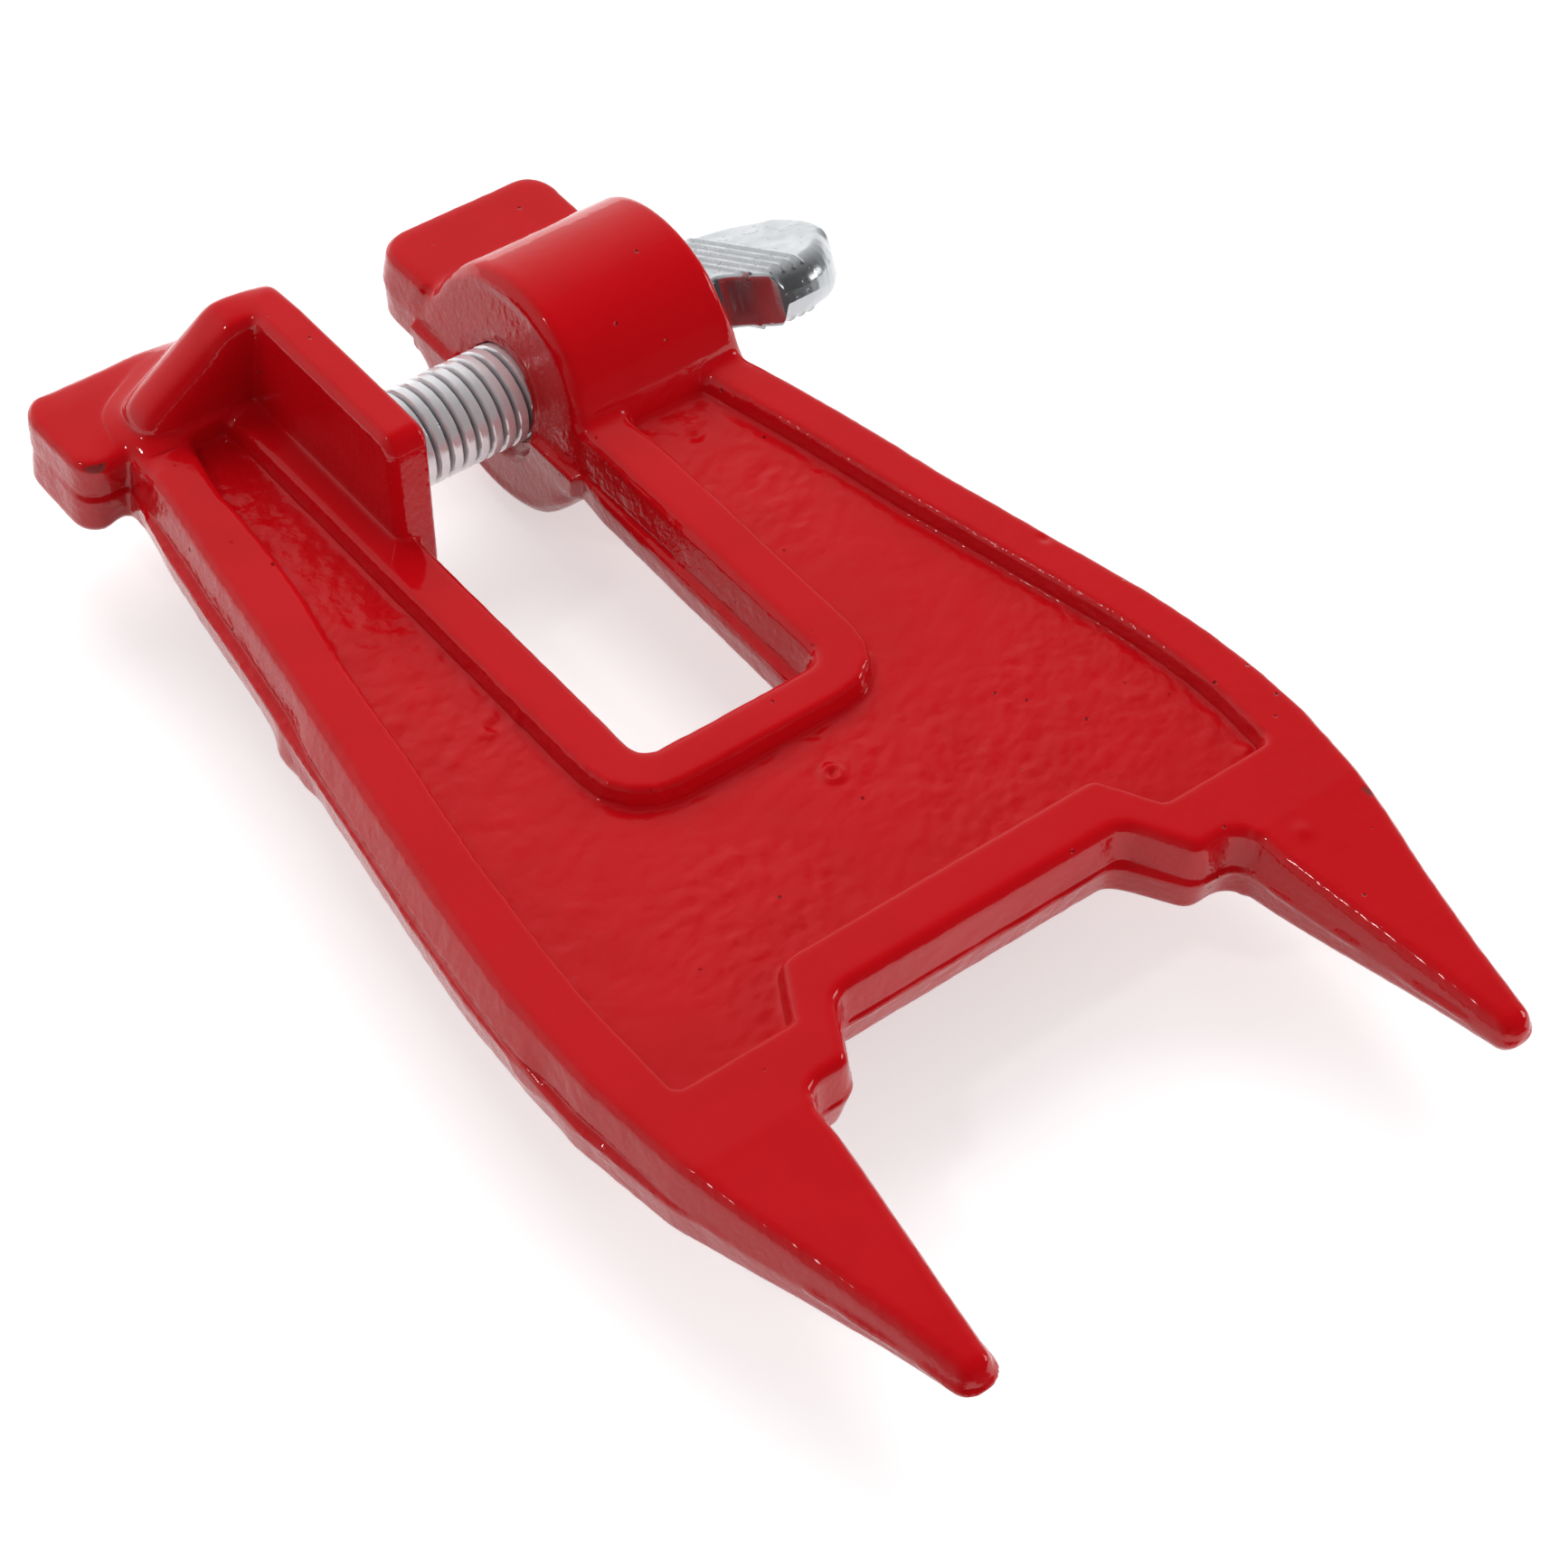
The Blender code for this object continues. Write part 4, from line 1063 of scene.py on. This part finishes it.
# Studio.
@dataclass(frozen=True)
class Lamp:
    """A soft lamp that faces the part."""

    name: str  # The lamp's name
    place: Triple  # Where it hangs
    size: Pair  # Its width and height
    power: float  # Its power in watts
    glossy: bool = False  # Whether gloss shows it

    def hang(self) -> None:
        """Put the lamp in the scene."""
        data = bpy.data.lights.new(self.name, "AREA")
        data.shape = "RECTANGLE"
        data.size, data.size_y = self.size
        data.energy = self.power
        obj = bpy.data.objects.new(self.name, data)
        obj.location = self.place
        obj.rotation_euler = (LAMP_TARGET - Vector(self.place)).to_track_quat("-Z", "Y").to_euler()
        obj.visible_glossy = self.glossy
        bpy.context.scene.collection.objects.link(obj)


LAMP_TARGET = Vector((0, 0, 0.02))
LAMPS = (
    Lamp("key_light", (0.23, 0.71, 0.87), (0.9, 0.9), 9.5),
    Lamp("front_fill", (0.30, -0.95, 0.20), (0.8, 0.4), 3.2),
    Lamp("left_softbox", (-0.85, 0.45, 0.42), (0.30, 0.22), 0.9),
    Lamp("sparkle_light", (-0.66, 0.13, 0.87), (0.08, 0.08), 0.9, True),
    Lamp("right_softbox", (0.86, -0.28, 0.40), (0.32, 0.24), 1.0, True),
)


@dataclass
class Studio:
    """Floor, light and camera."""

    camera_place: Triple = (-0.229163, -0.240013, 0.371134)  # Where the camera stands
    camera_turn: Triple = (42.06427, -4.42305, -39.23036)  # Its rotation in degrees
    lens: float = 97.947  # Focal length in millimetres
    sensor: float = 36.0  # Width of the sensor in millimetres
    near: float = 0.01  # Nearest distance that the camera sees
    floor_drop: float = 0.0001  # How far the floor lies below the part
    floor_size: float = 6.0  # Length of the floor's sides
    floor_grey: float = 0.70  # The floor's own brightness
    floor_roughness: float = 0.9  # Its roughness
    floor_glow: float = 0.55  # What it adds where it is seen, directly or in a gloss
    dim_side: Triple = (0.20, -0.75, 0.63)  # Direction in which reflections are dimmest
    # How closely that direction is met, for the dimmest and the brightest
    dim_span: Pair = (0.82, -0.75)
    dim_levels: Pair = (0.04, 1.0)  # Brightness there
    fill: float = 0.50  # Brightness that lights the part

    def camera(self) -> None:
        """Stand the camera where the photograph was taken from."""
        data = bpy.data.cameras.new("camera")
        data.sensor_width = self.sensor
        data.lens = self.lens
        data.clip_start = self.near
        obj = bpy.data.objects.new("camera", data)
        obj.location = self.camera_place
        obj.rotation_euler = Euler([math.radians(angle) for angle in self.camera_turn])
        bpy.context.scene.collection.objects.link(obj)
        bpy.context.scene.camera = obj

    def floor(self) -> None:
        """Lay a plain white floor that keeps the part's shadow."""
        half = self.floor_size / 2
        build = bmesh.new()
        build.faces.new([build.verts.new((x * half, y * half, -self.floor_drop))
                         for x, y in ((-1, -1), (1, -1), (1, 1), (-1, 1))])
        obj = new_object("studio_floor", mesh_from("studio_floor", build))
        sheet = NodeSheet("white_floor")
        rays = sheet.add("LightPath").outputs
        mirrored = sheet.math("MAXIMUM", rays["Is Glossy Ray"], rays["Is Transmission Ray"])
        seen = sheet.math("MAXIMUM", rays["Is Camera Ray"], mirrored)
        glow = sheet.math("MULTIPLY", seen, self.floor_glow)
        obj.data.materials.append(sheet.finish(
            Base_Color=(self.floor_grey, self.floor_grey, self.floor_grey, 1.0),
            Roughness=self.floor_roughness, Specular_IOR_Level=0.0,
            Emission_Color=(1.0, 1.0, 1.0, 1.0), Emission_Strength=glow))

    def world(self) -> None:
        """Surround the part with white that gloss sees dimmer overhead, on the camera's side."""
        world = bpy.data.worlds.new("studio")
        bpy.context.scene.world = world
        world.use_nodes = True
        world.node_tree.nodes.clear()
        sheet = Nodes(world.node_tree)
        towards = sheet.add("VectorMath", operation="DOT_PRODUCT")
        sheet.feed(towards.inputs[0], sheet.add("TexCoord").outputs["Generated"])
        sheet.feed(towards.inputs[1], Vector(self.dim_side).normalized())
        level = sheet.stretch(towards.outputs["Value"], self.dim_span, self.dim_levels, "SMOOTHSTEP")
        rays = sheet.add("LightPath").outputs
        level = sheet.mix(rays["Is Diffuse Ray"], level, self.fill)
        seen = sheet.math("MAXIMUM", rays["Is Camera Ray"], rays["Is Transmission Ray"])
        background = sheet.add("Background")
        sheet.feed(background.inputs["Strength"], sheet.mix(seen, level, 1.0))
        output = sheet.add("OutputWorld")
        sheet.feed(output.inputs["Surface"], background.outputs["Background"])

    def build(self) -> None:
        """Set up the whole studio."""
        self.camera()
        self.floor()
        self.world()
        for lamp in LAMPS:
            lamp.hang()
        bpy.context.scene.view_settings.view_transform = "Standard"


def dress(obj: bpy.types.Object, body: Body, node: str) -> None:
    """Hang a piece on its body in place of its CAD node, and report it.

    Args:
        obj: The finished piece.
        body: Body that it rides on.
        node: CAD node that it stands for.
    """
    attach(obj, body.value)
    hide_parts(node)
    LOG.info("%s: %d faces, rides on %s", obj.name, len(obj.data.polygons), body.value)


def main() -> None:
    """Build the studio and every piece of the vise."""
    logging.basicConfig(level=logging.INFO, format="%(name)s: %(message)s")
    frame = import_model()
    nodes: dict[str, bpy.types.Object] = frame["nodes"]
    Studio().build()

    casting = PaintedCasting(marks=CASTING_FLAWS, chips=PAINT_CHIPS)
    dress(casting.build(nodes[casting.node]), Body.VISE, casting.node)
    pad = SwivelPad()
    dress(pad.build(*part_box(pad.node)), Body.PAD, pad.node)
    stem = ThreadedStem()
    dress(stem.build(*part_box(stem.node)), Body.WING_SCREW, stem.node)
    wing = CastWing()
    dress(wing.build(nodes[wing.node]), Body.WING_SCREW, wing.node)


if __name__ == "__main__":
    main()
